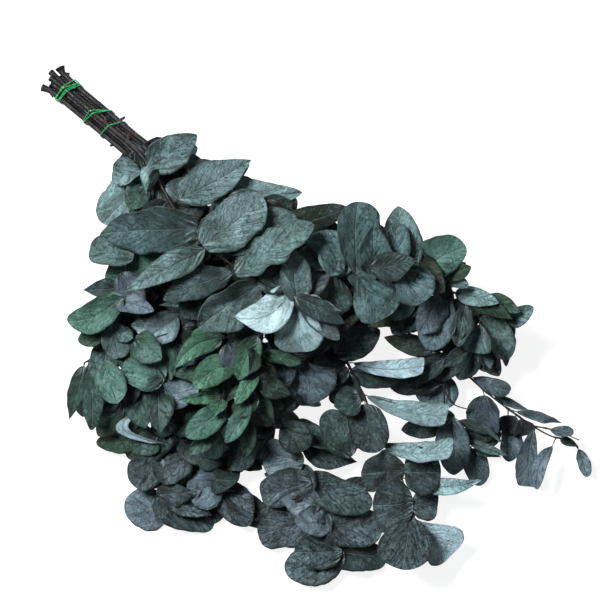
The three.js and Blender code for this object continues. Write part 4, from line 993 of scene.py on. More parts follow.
def tube(points, radii, sides, ridges, turn):
    """A closed tube along points, with its grid map. It keeps one turn from ring to ring."""
    points = np.asarray(points)
    ahead = np.gradient(points, axis=0)
    ahead /= np.linalg.norm(ahead, axis=1)[:, None]
    normal = unit(np.cross(ahead[0], TUBE_ASIDE))
    angles = 2 * math.pi * np.arange(sides) / sides
    # five small ridges over three broader ones
    uneven = 1 + ridges * (np.sin(5 * angles + turn) + 0.6 * np.sin(3 * angles + 2 * turn))
    rings = []
    for point, direction, radius in zip(points, ahead, radii):
        normal = unit(normal - direction * np.dot(normal, direction))
        binormal = np.cross(direction, normal)
        spokes = normal * np.cos(angles)[:, None] + binormal * np.sin(angles)[:, None]
        rings.append(point + spokes * (radius * uneven)[:, None])
    rows = len(points)
    faces = []
    for i in range(rows - 1):
        for j in range(sides):
            a = i * sides + j
            b = i * sides + (j + 1) % sides
            faces.append((a, b, b + sides, a + sides))
    steps = np.concatenate([[0], np.cumsum(np.linalg.norm(np.diff(points, axis=0), axis=1))])
    around = np.tile(np.arange(sides) / sides, rows)
    bark_map = np.stack([around, np.repeat(steps, sides) / MAP_SIZE], axis=1)
    faces.append(tuple(reversed(range(sides))))
    faces.append(tuple(range((rows - 1) * sides, rows * sides)))
    return np.concatenate(rings), faces, bark_map


def add_tube(sheaf, points, radii, sides, tone, chance, ridges=0.0):
    ring_points, faces, bark_map = tube(points, radii, sides, ridges, 7 * chance)
    sheaf.add(ring_points, faces, {"bark": bark_map}, tone, chance)


def add_wood(sheaf, wood, joints, sides, chance, cut_swell):
    """A stem along its smooth line, a little thicker where a leaf leaves it."""
    length = wood.line.length()
    count = max(round(length / WOOD_STEP), 4)
    shares = np.arange(count + 1) / count
    points = wood.line.places(shares)
    radii = np.array([wood.radius_at(share) for share in shares]) * WOOD_SLIM
    old_wood = wood.radius_at(0) > OLD_RADIUS
    beyond = np.clip((shares * length - HANDLE_LENGTH) / TAPER_LENGTH, 0, 1) if old_wood else 1
    radii = radii * (1 - TAPER * beyond)
    if old_wood:
        radii = radii * (1 + cut_swell * np.exp(-((shares * length / CUT_SWELL_REACH) ** 2)))
    if len(joints):
        gaps = np.linalg.norm(points[:, None] - np.array(joints)[None], axis=2).min(axis=1)
        radii = radii + NODE_SWELL * np.exp(-((gaps / NODE_REACH) ** 2))
    depth, waves, shift = UNEVEN
    radii = radii * (1 + depth * np.sin(shares * length * waves + shift * chance))
    thin, thick = YOUNG_RADII
    old = np.clip((radii - thin) / (thick - thin), 0, 1)[:, None]
    tones = np.array(linear(YOUNG_TONE)) * (1 - old) + np.array(linear(WOOD_TONE)) * old
    add_tube(sheaf, points, radii, sides, np.repeat(tones, sides, axis=0), chance, WOOD_RIDGES)


# Stubs of cut side twigs on the handle: where each leaves it and how far it reaches, in plan.
STUBS = {
    "stem_high_right": [((95, 108), (100, 102)), ((118, 122), (125, 117)), ((147, 150), (156, 144))],
    "stem_high_left": [((90, 118), (84, 122)), ((117, 141), (110, 146)), ((64, 96), (58, 99))],
    "stem_top": [((108, 122), (105, 117)), ((132, 139), (129, 133))],
}
STUB_RADII = (1.5, 1.35, 1.5, 1.0)
STUB_RISE = 2.5


def add_stubs(sheaf, name, wood, chance):
    for foot, end in STUBS.get(name, []):
        start = nearest_wood([wood], foot)
        tip = to_bunch((*end, start[2] + STUB_RISE))
        points = start + (tip - start) * np.linspace(0, 1, len(STUB_RADII))[:, None]
        add_tube(sheaf, points, STUB_RADII, TWIG_SIDES, linear(STUB_TONE), chance, STUB_RIDGES)


def add_stalk(sheaf, leaf, wood_points, chance):
    """A leaf's stalk, from the wood's middle into the blade's midrib."""
    start = wood_points[int(np.argmin(np.linalg.norm(wood_points - leaf["joint"], axis=1)))]
    u = np.array(CLASP_RIB_U if leaf["clasps"] else STALK_RIB_U)
    rib = fine_points(leaf, u, np.zeros(3), np.ones(3), np.zeros(3))
    rib[:, 2] -= STALK_SINK
    t = np.linspace(0, 1, STALK_STEPS)[:, None]
    away = start + (rib[0] - start) * 0.5
    away[2] = start[2] + 0.25 * (rib[0][2] - start[2])
    curve = start * (1 - t) ** 2 + 2 * away * t * (1 - t) + rib[0] * t**2
    points = np.concatenate([curve, rib[1:]])
    first, last = [STALK_RADIUS * share for share in STALK_TAPER]
    radii = [*np.linspace(first, last, STALK_STEPS), *[STALK_RADIUS * share for share in STALK_ENDS]]
    add_tube(sheaf, points, radii, STALK_SIDES, linear(STALK_TONE), chance)


# ---------------------------------------------------------------- small leaves
#
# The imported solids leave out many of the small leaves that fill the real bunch. These hang on the same
# stems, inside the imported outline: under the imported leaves, across the gaps between them, or over bare wood.

CELL = 2.5
GRID_LOW = (-335, -230)
GRID_COUNT = (270, 186)
GRID_X = GRID_LOW[0] + CELL * np.arange(GRID_COUNT[0])
GRID_Y = GRID_LOW[1] + CELL * np.arange(GRID_COUNT[1])
RAY_HEIGHT = 400
CLOSE_REACH = 4          # cells: gaps narrower than twice this are filled
EDGE_REACH = 3           # cells between the outline and where the canopy counts as deep
OVER_BY = 1              # a point less than this under what covers its place lies over it
EXTRA_SEED = 7001
OPEN_GAPS = [            # plan circles that stay open: right, down, radius
    (313, 413, 13), (390, 351, 13), (461, 393, 16), (462, 418, 10), (341, 468, 10), (322, 466, 9),
    (449, 477, 9), (478, 381, 10), (507, 402, 12), (396, 432, 7), (352, 441, 7), (339, 443, 7),
    (89, 356, 7), (281, 433, 5), (544, 455, 14), (432, 353, 5), (372, 547, 4), (355, 462, 8),
]
SEEN_WHOLE = [           # plan circles over packed leaves that nothing more covers
    (358, 366, 8), (378, 367, 9), (398, 366, 9), (415, 365, 8), (372, 398, 7), (388, 402, 9),
    (408, 406, 10), (428, 411, 10), (388, 447, 8), (404, 450, 10), (422, 450, 10), (440, 450, 9),
    (415, 483, 7), (432, 485, 8), (450, 484, 7), (436, 541, 14), (452, 538, 10), (400, 548, 12),
]

# Points of a blade: a few that show where it lies, and enough to lay it over the grid.
FOOTPRINT_U = np.array([0.15, 0.35, 0.35, 0.35, 0.6, 0.6, 0.6, 0.85, 0.85, 0.85, 1.0])
FOOTPRINT_V = np.array([0, -0.8, 0, 0.8, -0.8, 0, 0.8, -0.8, 0, 0.8, 0])
FULL_U, FULL_V = (part.ravel() for part in np.meshgrid(np.linspace(0.05, 0.97, 14), np.linspace(-1, 1, 11)))


class Canopy:
    """What the leaves cover, seen from above, on a plan grid of small cells."""

    def __init__(self):
        trees = []
        for name in STEMS:
            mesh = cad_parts[name].data
            corners = [vertex.co / MM for vertex in mesh.vertices]
            faces = [tuple(polygon.vertices) for polygon in mesh.polygons]
            trees.append(BVHTree.FromPolygons(corners, faces))
        self.top = np.full(GRID_COUNT, -1.0)
        for i, x in enumerate(GRID_X):
            for j, y in enumerate(GRID_Y):
                for tree in trees:
                    hit = tree.ray_cast(Vector((x, y, RAY_HEIGHT)), Vector((0, 0, -1)))[0]
                    if hit:
                        self.top[i, j] = max(self.top[i, j], hit.z)
        covered = self.top >= 0
        self.inside = ~spread(~spread(covered, CLOSE_REACH), CLOSE_REACH)
        self.kept_clear = within(OPEN_GAPS) & ~covered
        self.inside &= ~self.kept_clear
        self.deep = ~spread(~self.inside, EDGE_REACH)
        self.kept_clear |= within(SEEN_WHOLE)

    def cells(self, points):
        i = np.clip(np.round((points[:, 0] - GRID_LOW[0]) / CELL).astype(int), 0, GRID_COUNT[0] - 1)
        j = np.clip(np.round((points[:, 1] - GRID_LOW[1]) / CELL).astype(int), 0, GRID_COUNT[1] - 1)
        return i, j

    def holds(self, leaf, share):
        """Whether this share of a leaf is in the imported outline, and none of it where leaves may not lie."""
        cells = self.cells(blade_points(leaf, FULL_U, FULL_V))
        return self.inside[cells].mean() >= share and not self.kept_clear[cells].any()

    def gap_and_over(self, leaf):
        """The shares of a leaf that lie where nothing is covered yet, and over what covers their place."""
        points = blade_points(leaf, FOOTPRINT_U, FOOTPRINT_V)
        top = self.top[self.cells(points)]
        over = (top >= 0) & (points[:, 2] > top - OVER_BY)
        return (top < 0).mean(), over.mean()

    def lay(self, points):
        """Counts what lies at these points as covered."""
        np.maximum.at(self.top, self.cells(points), points[:, 2])

    def recount(self, branches):
        """Counts afresh what is covered, from the points of the fine blades and the wood."""
        self.top[:] = -1
        for branch in branches:
            for leaf, points in zip(branch.leaves, branch.blades.points):
                rows, v_row = blade_grid(leaf)
                sheet = points[:-1].reshape(rows, len(v_row), 3)
                across = (sheet[:, 1:] + sheet[:, :-1]) / 2
                along = (sheet[1:] + sheet[:-1]) / 2
                middle = (across[1:] + across[:-1]) / 2
                for part in (sheet, across, along, middle):
                    self.lay(part.reshape(-1, 3))
            self.lay(branch.wood_points)


def within(circles):
    """Marks each cell in any of these plan circles."""
    cells = np.zeros(GRID_COUNT, bool)
    for right, down, radius in circles:
        place = to_bunch((right, down, 0))
        cells |= np.hypot(GRID_X[:, None] - place[0], GRID_Y[None] - place[1]) < radius
    return cells


def spread(cells, reach):
    """Marks each cell that is within reach of a marked one."""
    wide = cells.copy()
    for dx in range(-reach, reach + 1):
        for dy in range(-reach, reach + 1):
            if 0 < dx * dx + dy * dy <= reach * reach:
                wide |= np.roll(cells, (dx, dy), (0, 1))
    return wide


def middle_of(leaf):
    return (leaf["base"] + leaf["tip"]) / 2


def near_tone(leaves, point):
    """The tone of the leaf nearest a point."""
    return min(leaves, key=lambda leaf: np.linalg.norm(middle_of(leaf) - point))["tone"]


def darker(tone, share):
    return tuple(share * part for part in tone)


def stations(wood, first, step):
    """Shares of the wood's length at even steps, past the first one."""
    count = max(int(wood.line.length() * (1 - first) / step), 1)
    return [first + (1 - first) * k / count for k in range(count)]


def keep(leaf, share, leaves, canopy, found):
    """Takes a small leaf, in a shade of the tone that is nearest to it."""
    leaf["tone"] = darker(near_tone(leaves, middle_of(leaf)), share)
    canopy.lay(blade_points(leaf, FULL_U, FULL_V))
    found.append(leaf)


# Over bare wood: how far past the handle, how far apart, and how they lie.
COVER_START = 28
COVER_STEP = 13
COVER_TURNS = (14, 48)       # degrees from the wood's own direction
COVER_REACHES = (30, 42)
COVER_WIDTHS = (22, 31)
COVER_RISES = (-5, 3)
COVER_ROLLS = (-16, 16)
COVER_FOLD = 10
COVER_TONES = (0.55, 0.95)   # of the tone nearest to them
COVER_BACK = 7               # millimetres that a leaf starts behind its place
COVER_OVER_WOOD = 0.8        # millimetres over the wood's surface
COVER_BARE = 2               # wood is bare where nothing lies this far over it
COVER_INSIDE = 0.97
COVER_OVER = 0.5             # of a leaf may lie over others
LOWEST_TIP = 2

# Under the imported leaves.
INNER_STEP = 5
INNER_FIRST = 0.05           # of a twig's length
INNER_ANGLES = (30, 85)
INNER_REACHES = (30, 48)
INNER_RISES = (-12, 6)
INNER_LOWEST_TIP = 1
INNER_ROLLS = (-28, 28)
INNER_FOLDS = (5, 22)
INNER_WIDTHS = (0.56, 0.78)  # of their reach
INNER_ROUND = 0.4            # of them are round
# of the nearest tone: painted shade on leaves deep in the mass
INNER_SHADE_SHARES = (0.45, 0.8)
INNER_INSIDE = 0.93
INNER_GAP = 0.08             # of a leaf lies across a gap, or more
INNER_OVER = 0.18

# Aimed at the holes that are left.
HOLE_REACH = (5, 50)         # from the wood, millimetres
HOLE_BEYOND = (9, 17)        # past the hole
HOLE_RISES = (-16, -4)
HOLE_SINKS = (0, -14, -28, -42)
HOLE_WIDTHS = (20, 28)
HOLE_ROLLS = (-16, 16)
HOLE_FOLD = 12
# of the nearest tone: painted shade on leaves sunk into the holes
HOLE_SHADE_SHARES = (0.45, 0.75)
HOLE_INSIDE = 0.97
HOLE_OVER = 0.4


def cover_leaf(wood, share, side, draw):
    """A leaf that lies along and over the wood, to one side of it."""
    middle = wood.line.at(share)
    ahead = unit(wood.line.at(share + LOOK_AHEAD) - middle)
    turn = between(COVER_TURNS, draw()) * side
    reach = between(COVER_REACHES, draw())
    width = between(COVER_WIDTHS, draw())
    rise = between(COVER_RISES, draw())
    roll = between(COVER_ROLLS, draw())
    heading = math.atan2(ahead[1], ahead[0]) + math.radians(turn)
    away = np.array([math.cos(heading), math.sin(heading), 0])
    base = middle - away * COVER_BACK + UP * (wood.radius_at(share) + COVER_OVER_WOOD)
    tip = base + away * reach + UP * (rise + ahead[2] * reach)
    tip[2] = max(tip[2], LOWEST_TIP)
    return make_leaf(base, tip, width, ROUND, {"roll": roll, "fold": COVER_FOLD})


def cover_leaves(woods, leaves, canopy, draw):
    """Leaves over the wood where it would show inside the mass."""
    found = []
    for wood in woods:
        first = (HANDLE_LENGTH + COVER_START) / wood.line.length() if wood is woods[0] else 0.0
        for k, share in enumerate(stations(wood, first, COVER_STEP)):
            leaf = cover_leaf(wood, share, 1 if k % 2 else -1, draw)
            middle = wood.line.at(share)
            cells = canopy.cells(middle[None])
            bare = canopy.top[cells][0] < middle[2] + wood.radius_at(share) + COVER_BARE
            if not bare or not canopy.deep[cells][0]:
                continue
            if canopy.holds(leaf, COVER_INSIDE) and canopy.gap_and_over(leaf)[1] <= COVER_OVER:
                keep(leaf, between(COVER_TONES, draw()), leaves, canopy, found)
    return found


def inner_leaf(wood, share, side, draw):
    joint = wood.line.at(share)
    angle = wood.line.heading(share) + side * math.radians(between(INNER_ANGLES, draw()))
    reach = between(INNER_REACHES, draw())
    tip = outward(joint, angle, reach, between(INNER_RISES, draw()))
    tip[2] = max(tip[2], INNER_LOWEST_TIP)
    form = {"roll": between(INNER_ROLLS, draw()), "fold": between(INNER_FOLDS, draw())}
    width = reach * between(INNER_WIDTHS, draw())
    return make_leaf(joint, tip, width, ROUND if draw() < INNER_ROUND else OVAL, form)


def inner_leaves(woods, leaves, canopy, draw):
    """Small leaves that close the gaps in the canopy, darkened as painted shade deep in the mass."""
    found = []
    for wood in woods:
        first = HANDLE_LENGTH / wood.line.length() if wood is woods[0] else INNER_FIRST
        for share in stations(wood, first, INNER_STEP):
            for side in (-1, 1):
                leaf = inner_leaf(wood, share, side, draw)
                gap, over = canopy.gap_and_over(leaf)
                if canopy.holds(leaf, INNER_INSIDE) and gap >= INNER_GAP and over <= INNER_OVER:
                    keep(leaf, between(INNER_SHADE_SHARES, draw()), leaves, canopy, found)
    return found


def hole_leaves(wood_points, leaves, canopy, draw):
    """Leaves aimed at the holes that are still left inside the outline, sunk until one has room, and darkened as
    painted shade.
    """
    found = []
    for i, j in np.argwhere(canopy.deep & (canopy.top < 0)):
        hole = np.array([GRID_X[i], GRID_Y[j]])
        past_neck = handle_place(np.array([*hole, handle_end[2]]))[0] - HANDLE_LENGTH
        if canopy.top[i, j] >= 0 or past_neck < 0:
            continue
        away = np.hypot(*(wood_points[:, :2] - hole).T)
        away[away < HOLE_REACH[0]] = np.inf
        nearest = int(np.argmin(away))
        if away[nearest] > HOLE_REACH[1]:
            continue
        joint = wood_points[nearest]
        across = unit(hole - joint[:2]) * (away[nearest] + between(HOLE_BEYOND, draw()))
        rise = between(HOLE_RISES, draw())
        width = between(HOLE_WIDTHS, draw())
        form = {"roll": between(HOLE_ROLLS, draw()), "fold": HOLE_FOLD}
        # a darker share of the nearest tone: painted shade
        shade_share = between(HOLE_SHADE_SHARES, draw())
        for sink in HOLE_SINKS:
            tip = joint + np.array([*across, rise + sink])
            tip[2] = max(tip[2], LOWEST_TIP)
            leaf = make_leaf(joint, tip, width, OVAL, form)
            if canopy.holds(leaf, HOLE_INSIDE) and canopy.gap_and_over(leaf)[1] <= HOLE_OVER:
                keep(leaf, shade_share, leaves, canopy, found)
                break
    return found


# How much wider than its solid a listed leaf may be, from the most that is tried.
HIDDEN_GROWTHS = (1.35, 1.25, 1.15)
SEEN_GROWTHS = (1.14, 1.07)
HIDDEN_SHARE = 0.45          # of a leaf under others, where its growth doesn't show
HIDDEN_BY = 3
NARROW = 22
WIDEST = 52
GROWN_INSIDE = 0.995


def full_grown(leaf, canopy):
    """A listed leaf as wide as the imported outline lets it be, where its solid left its neighbours room."""
    if leaf["outline"] in (BLUNT, FAN, LANCE) or leaf["width"] < NARROW:
        return leaf
    points = blade_points(leaf, FOOTPRINT_U, FOOTPRINT_V)
    hidden = points[:, 2] < canopy.top[canopy.cells(points)] - HIDDEN_BY
    for growth in HIDDEN_GROWTHS if hidden.mean() > HIDDEN_SHARE else SEEN_GROWTHS:
        wider = {**leaf, "width": leaf["width"] * growth}
        if wider["width"] < WIDEST and canopy.holds(wider, GROWN_INSIDE):
            return wider
    return leaf


# ---------------------------------------------------------------- materials

# Sockets of the Mix node that mixes colours.
MIX_FACTOR = 0
MIX_FIRST = 6
MIX_SECOND = 7
MIX_RESULT = 2


class Nodes:
    """Short calls for a material's nodes and links."""

    def __init__(self, name):
        self.material = bpy.data.materials.new(name)
        self.material.use_nodes = True
        self.tree = self.material.node_tree
        self.shader = self.tree.nodes["Principled BSDF"]

    def node(self, kind, inputs=None, **settings):
        node = self.tree.nodes.new(kind)
        for name, value in settings.items():
            setattr(node, name, value)
        for key, value in (inputs or {}).items():
            self.feed(node.inputs[key], value)
        return node

    def feed(self, socket, value):
        if isinstance(value, bpy.types.NodeSocket):
            self.tree.links.new(value, socket)
        else:
            socket.default_value = value

    def look(self, colour, roughness, height, strength, distance):
        """Links the shader's colour and roughness, and a bump of this height."""
        bump = self.node("ShaderNodeBump", {"Height": height, "Strength": strength, "Distance": distance})
        self.feed(self.shader.inputs["Base Color"], colour)
        self.feed(self.shader.inputs["Roughness"], roughness)
        self.feed(self.shader.inputs["Normal"], bump.outputs[0])

    def math(self, operation, *values):
        node = self.node("ShaderNodeMath", operation=operation)
        for socket, value in zip(node.inputs, values):
            self.feed(socket, value)
        return node.outputs[0]

    def product(self, *values):
        """All the values multiplied, from the first on."""
        result = values[0]
        for value in values[1:]:
            result = self.math("MULTIPLY", result, value)
        return result

    def total(self, *weighted):
        """The sum of (value, weight) pairs."""
        result = self.product(*weighted[0])
        for value, weight in weighted[1:]:
            result = self.math("MULTIPLY_ADD", value, weight, result)
        return result

    def ranged(self, value, low, high, new_low=0.0, new_high=1.0, smooth=True):
        kind = "SMOOTHSTEP" if smooth else "LINEAR"
        inputs = {"Value": value, "From Min": low, "From Max": high, "To Min": new_low, "To Max": new_high}
        return self.node("ShaderNodeMapRange", inputs, interpolation_type=kind).outputs[0]

    def mix(self, factor, first, second, blend="MIX"):
        node = self.node("ShaderNodeMix", data_type="RGBA", blend_type=blend)
        self.feed(node.inputs[MIX_FACTOR], factor)
        self.feed(node.inputs[MIX_FIRST], first)
        self.feed(node.inputs[MIX_SECOND], second)
        return node.outputs[MIX_RESULT]

    def noise(self, vector, scale, detail=3.0, roughness=0.55, distortion=0.0):
        inputs = {"Vector": vector, "Scale": scale, "Detail": detail, "Roughness": roughness,
                  "Distortion": distortion}
        return self.node("ShaderNodeTexNoise", inputs).outputs[0]

    def to_cell_edge(self, vector, scale):
        """How far each place is from the edge of its cell."""
        inputs = {"Vector": vector, "Scale": scale}
        return self.node("ShaderNodeTexVoronoi", inputs, feature="DISTANCE_TO_EDGE").outputs["Distance"]

    def attribute(self, name):
        return self.node("ShaderNodeAttribute", attribute_name=name)

    def place(self):
        return self.node("ShaderNodeTexCoord").outputs["Object"]

    def vector(self, x, y, z):
        return self.node("ShaderNodeCombineXYZ", {0: x, 1: y, 2: z}).outputs[0]

    def add_vectors(self, first, second):
        return self.node("ShaderNodeVectorMath", {0: first, 1: second}, operation="ADD").outputs[0]

    def map_parts(self, name):
        """The two parts of a place on a map."""
        parts = self.node("ShaderNodeSeparateXYZ", {0: self.node("ShaderNodeUVMap", uv_map=name).outputs[0]})
        return parts.outputs[0], parts.outputs[1]


def shade(colour):
    return (*linear(colour), 1.0)


LEAF_GAIN = 1.28             # how much lighter than their tones the leaves are, marks and all
LEAF_VARIES = (0.8, 1.2)     # from leaf to leaf
LEAF_SPECULAR = 0.32
VEIN_STEP = 7.5              # millimetres along the midrib from side vein to side vein
VEIN_LEAN = 1.35             # how far they lean towards the tip, for each millimetre out
VEIN_CURVE = 1.08
VEIN_WANDER = 10.0
CREASE = 0.0075              # how far the net's cells are bent out of shape
WIDE_NET = 150.0
FINE_NET = 400.0
WARM_HUE = (0.94, 1.01, 0.97, 1.0)
COOL_HUE = (1.03, 0.99, 1.02, 1.0)
DEEP_HUE = (0.7, 1.0, 0.82, 1.0)
# the colour of a pale line along the very rim: painted highlight
RIM_HIGHLIGHT = (118, 124, 114)


def leaf_material():
    """Waxy grey-green leaves: a pale midrib, side veins, a net of creases, spots and darker rims, with painted
    shade towards the base and a painted highlight line along the very rim.
    """
    n = Nodes("leaf")
    tone = n.attribute("tone").outputs["Color"]
    marks = n.attribute("tone").outputs["Alpha"]
    chance = n.attribute("chance").outputs["Fac"]
    blade_u, blade_v = n.map_parts("blade")
    along = n.product(blade_u, MAP_SIZE)
    across = n.product(blade_v, MAP_SIZE)
    out = n.math("ABSOLUTE", across)
    rim_u, rim_v = n.map_parts("rim")
    edge = n.math("ABSOLUTE", n.math("MULTIPLY_ADD", rim_v, 2.0, -1.0))

    # each leaf has its own part of the noise
    offset = n.product(chance, 37.0)
    spot = n.add_vectors(n.place(), n.vector(offset, offset, offset))
    broad = n.noise(spot, 26.0, 3.0, 0.6)
    patch = n.noise(spot, 85.0, 5.0, 0.65, 0.8)
    fine = n.noise(spot, 330.0, 4.0, 0.72)
    grain = n.noise(spot, 1100.0, 2.0, 0.6)

    # side veins leave the midrib at an angle, and lean towards the tip as they near the rim
    wander = n.math("MULTIPLY_ADD", n.noise(spot, 70.0, 3.0), VEIN_WANDER, -VEIN_WANDER / 2)
    lean = n.product(n.math("POWER", out, VEIN_CURVE), VEIN_LEAN)
    phase = n.math("SUBTRACT", n.math("ADD", along, wander), lean)
    beat = n.math("FRACT", n.math("DIVIDE", phase, VEIN_STEP))
    to_vein = n.math("ABSOLUTE", n.math("SUBTRACT", beat, 0.5))
    side_vein = n.product(n.ranged(to_vein, 0.42, 0.5), n.ranged(patch, 0.35, 0.6))
    midrib = n.ranged(out, 0.75, 0.15)
    streak = n.noise(n.vector(n.product(phase, 0.4), n.product(across, 0.07), offset), 1.0, 4.0, 0.72)

    # two nets of creases, a wide one in patches and a fine one all over
    ripple = n.node("ShaderNodeTexNoise", {"Vector": spot, "Scale": 240.0, "Detail": 3.0}).outputs["Color"]
    bent = n.node("ShaderNodeVectorMath", {0: ripple}, operation="SCALE")
    bent.inputs["Scale"].default_value = CREASE
    crease = n.add_vectors(spot, bent.outputs[0])
    wide_net = n.product(n.ranged(n.to_cell_edge(crease, WIDE_NET), 0.085, 0.0), n.ranged(fine, 0.42, 0.58))
    net = n.ranged(n.to_cell_edge(crease, FINE_NET), 0.2, 0.0)

    def by_marks(faint, strong):
        """A level that depends on how strongly the tone's veins and spots show."""
        return n.ranged(marks, 0.0, 1.0, faint, strong)

    # one level of light and dark from all the marks, and from painted shade towards each blade's base, lighter
    # from its middle to its tip
    low, high = [LEAF_GAIN * share for share in LEAF_VARIES]
    level = n.product(
        n.ranged(broad, 0.36, 0.64, 1.14, 0.74),
        n.ranged(patch, 0.34, 0.66, by_marks(0.9, 0.7), by_marks(1.1, 1.34)),
        n.ranged(fine, 0.36, 0.66, 1.07, by_marks(0.94, 0.72)),
        n.ranged(streak, 0.5, 0.64, 1.06, by_marks(0.84, 0.5)),
        n.ranged(wide_net, 0.0, 1.0, 1.0, by_marks(0.72, 0.22)),
        n.ranged(net, 0.0, 1.0, 1.03, 0.88),
        # painted shade at the blade's base, a little lighter from its middle to its tip
        n.ranged(rim_u, 0.0, 0.5, 0.42, 1.1),
        n.ranged(edge, 0.8, 0.97, 1.04, by_marks(0.76, 0.45)),
        n.ranged(chance, 0.0, 1.0, low, high, smooth=False),
    )

    # the tone, its hue, then the marks from the darkest to the palest
    hue = n.math("FRACT", n.product(chance, 7.3))
    tinted = n.mix(1.0, tone, n.mix(hue, WARM_HUE, COOL_HUE), "MULTIPLY")
    marked = n.mix(1.0, tinted, n.vector(level, level, level), "MULTIPLY")
    # darker places turn greener, the painted shade at the base among them
    deep = n.mix(n.ranged(level, 0.75, 0.3, 0.0, 0.6), marked, DEEP_HUE, "MULTIPLY")
    waxed = n.mix(n.ranged(level, 1.1, 2.0, 0.0, 0.5), deep, n.mix(0.32, tone, shade(FROST)))
    pale_vein = n.mix(0.45, tone, shade(FROST))
    veined = n.mix(n.product(side_vein, 0.14), waxed, pale_vein)
    ribbed = n.mix(n.product(midrib, 0.38), veined, pale_vein)
    rays = n.product(n.ranged(rim_u, 0.24, 0.02), n.ranged(streak, 0.52, 0.4))
    starred = n.mix(n.product(rays, 0.5), ribbed, shade(FROST))
    # painted highlight: a pale line along the very rim
    rim_highlighted = n.mix(n.ranged(edge, 0.96, 1.0, 0.0, 0.3), starred, n.mix(0.5, tone, shade(RIM_HIGHLIGHT)))

    roughness = n.math("MULTIPLY_ADD", grain, 0.08, n.ranged(patch, 0.3, 0.7, 0.62, 0.42))
    ridge = n.ranged(streak, 0.5, 0.64)
    height = n.total((side_vein, -0.5), (midrib, -1.0), (net, -0.3), (wide_net, -0.7), (ridge, -0.8),
                     (patch, 2.2), (fine, 0.45), (grain, 0.25))
    n.look(rim_highlighted, roughness, height, 0.85, 0.0013)
    n.shader.inputs["Specular IOR Level"].default_value = LEAF_SPECULAR
    return n.material


STEM_SPECULAR = 0.27
BARK_DARK = (0.1, 0.08, 0.1, 1.0)
BARK_WARM = (30, 17, 18)
# pale bluish streaks along the stems: painted highlight
BARK_PAINTED_HIGHLIGHT = (96, 104, 124)
BARK_DUST_AND_SHEEN = (70, 74, 84)


def stem_material():
    """Dark bark with streaks along it, reddish patches, thin pale streaks of painted highlight, and fine pale
    specks that are partly dust and partly painted sheen.
    """
    n = Nodes("stem")
    place = n.place()
    tone = n.attribute("tone").outputs["Color"]
    chance = n.attribute("chance").outputs["Fac"]
    around, along = n.map_parts("bark")
    streak = n.noise(n.vector(n.product(around, 4.0), n.product(along, 3.0), chance), 2.4, 5.0, 0.65)
    highlight_streak = n.noise(n.vector(n.product(around, 5.0), n.product(along, 4.0), chance), 1.6, 4.0, 0.7)
    spots = n.noise(place, 260.0, 4.0, 0.6)
    grain = n.noise(place, 1400.0, 2.0)
    dark = n.mix(n.ranged(streak, 0.38, 0.54, 0.0, 0.95), tone, BARK_DARK, "MULTIPLY")
    warm = n.mix(n.ranged(n.noise(place, 60.0, 3.0), 0.5, 0.66, 0.0, 0.5), dark, shade(BARK_WARM))
    # painted highlight: pale bluish streaks along the stems
    painted_highlight = n.mix(n.ranged(highlight_streak, 0.6, 0.68, 0.0, 0.8), warm, shade(BARK_PAINTED_HIGHLIGHT))
    # fine pale bluish specks: partly dust, partly painted sheen
    dust_and_sheen = n.mix(n.ranged(grain, 0.58, 0.8, 0.0, 0.08), painted_highlight, shade(BARK_DUST_AND_SHEEN))
    height = n.total((streak, 1.6), (grain, 0.3))
    n.look(dust_and_sheen, n.ranged(spots, 0.3, 0.7, 0.4, 0.58), height, 0.6, 0.001)
    n.shader.inputs["Specular IOR Level"].default_value = STEM_SPECULAR
    return n.material


# a darker green and a lighter one that partly stands for sheen: painted highlight
TIE_GREENS = ((12, 116, 60), (48, 160, 100))
TIE_SCUFF = (110, 196, 140)


def tie_material():
    """Smooth green plastic in two greens, the lighter one partly painted sheen, scuffed here and there."""
    n = Nodes("tie")
    place = n.place()
    wear_and_sheen = n.noise(place, 240.0, 3.0)
    grain = n.noise(place, 1600.0, 2.0)
    # two greens in patches: the lighter one is partly painted highlight
    green = n.mix(n.ranged(wear_and_sheen, 0.4, 0.7), *[shade(colour) for colour in TIE_GREENS])
    scuffed = n.mix(n.ranged(grain, 0.55, 0.8, 0.0, 0.25), green, shade(TIE_SCUFF))
    n.look(scuffed, n.ranged(wear_and_sheen, 0.3, 0.7, 0.26, 0.44), grain, 0.15, 0.0002)
    n.shader.inputs["Coat Weight"].default_value = 0.2
    return n.material


FLOOR_GLOW = 0.86            # a light table, which keeps the shadows on it faint
FLOOR_GREYS = ((150, 151, 152), (156, 156, 156))


def floor_material():
    """A plain pale floor."""
    n = Nodes("floor")
    soft = n.noise(n.place(), 3.0, 3.0)
    n.feed(n.shader.inputs["Base Color"], n.mix(soft, *[shade(colour) for colour in FLOOR_GREYS]))
    n.shader.inputs["Emission Color"].default_value = (1.0, 1.0, 1.0, 1.0)
    n.shader.inputs["Emission Strength"].default_value = FLOOR_GLOW
    n.shader.inputs["Roughness"].default_value = 0.9
    n.shader.inputs["Specular IOR Level"].default_value = 0.1
    return n.material


# ---------------------------------------------------------------- the bunch

LINE_STEPS = 300             # points along a wood's line that leaves may hang on
HANDLE_STEPS = 240
HANDLE_MORE = 30             # past the handle, so that a tie finds every stem


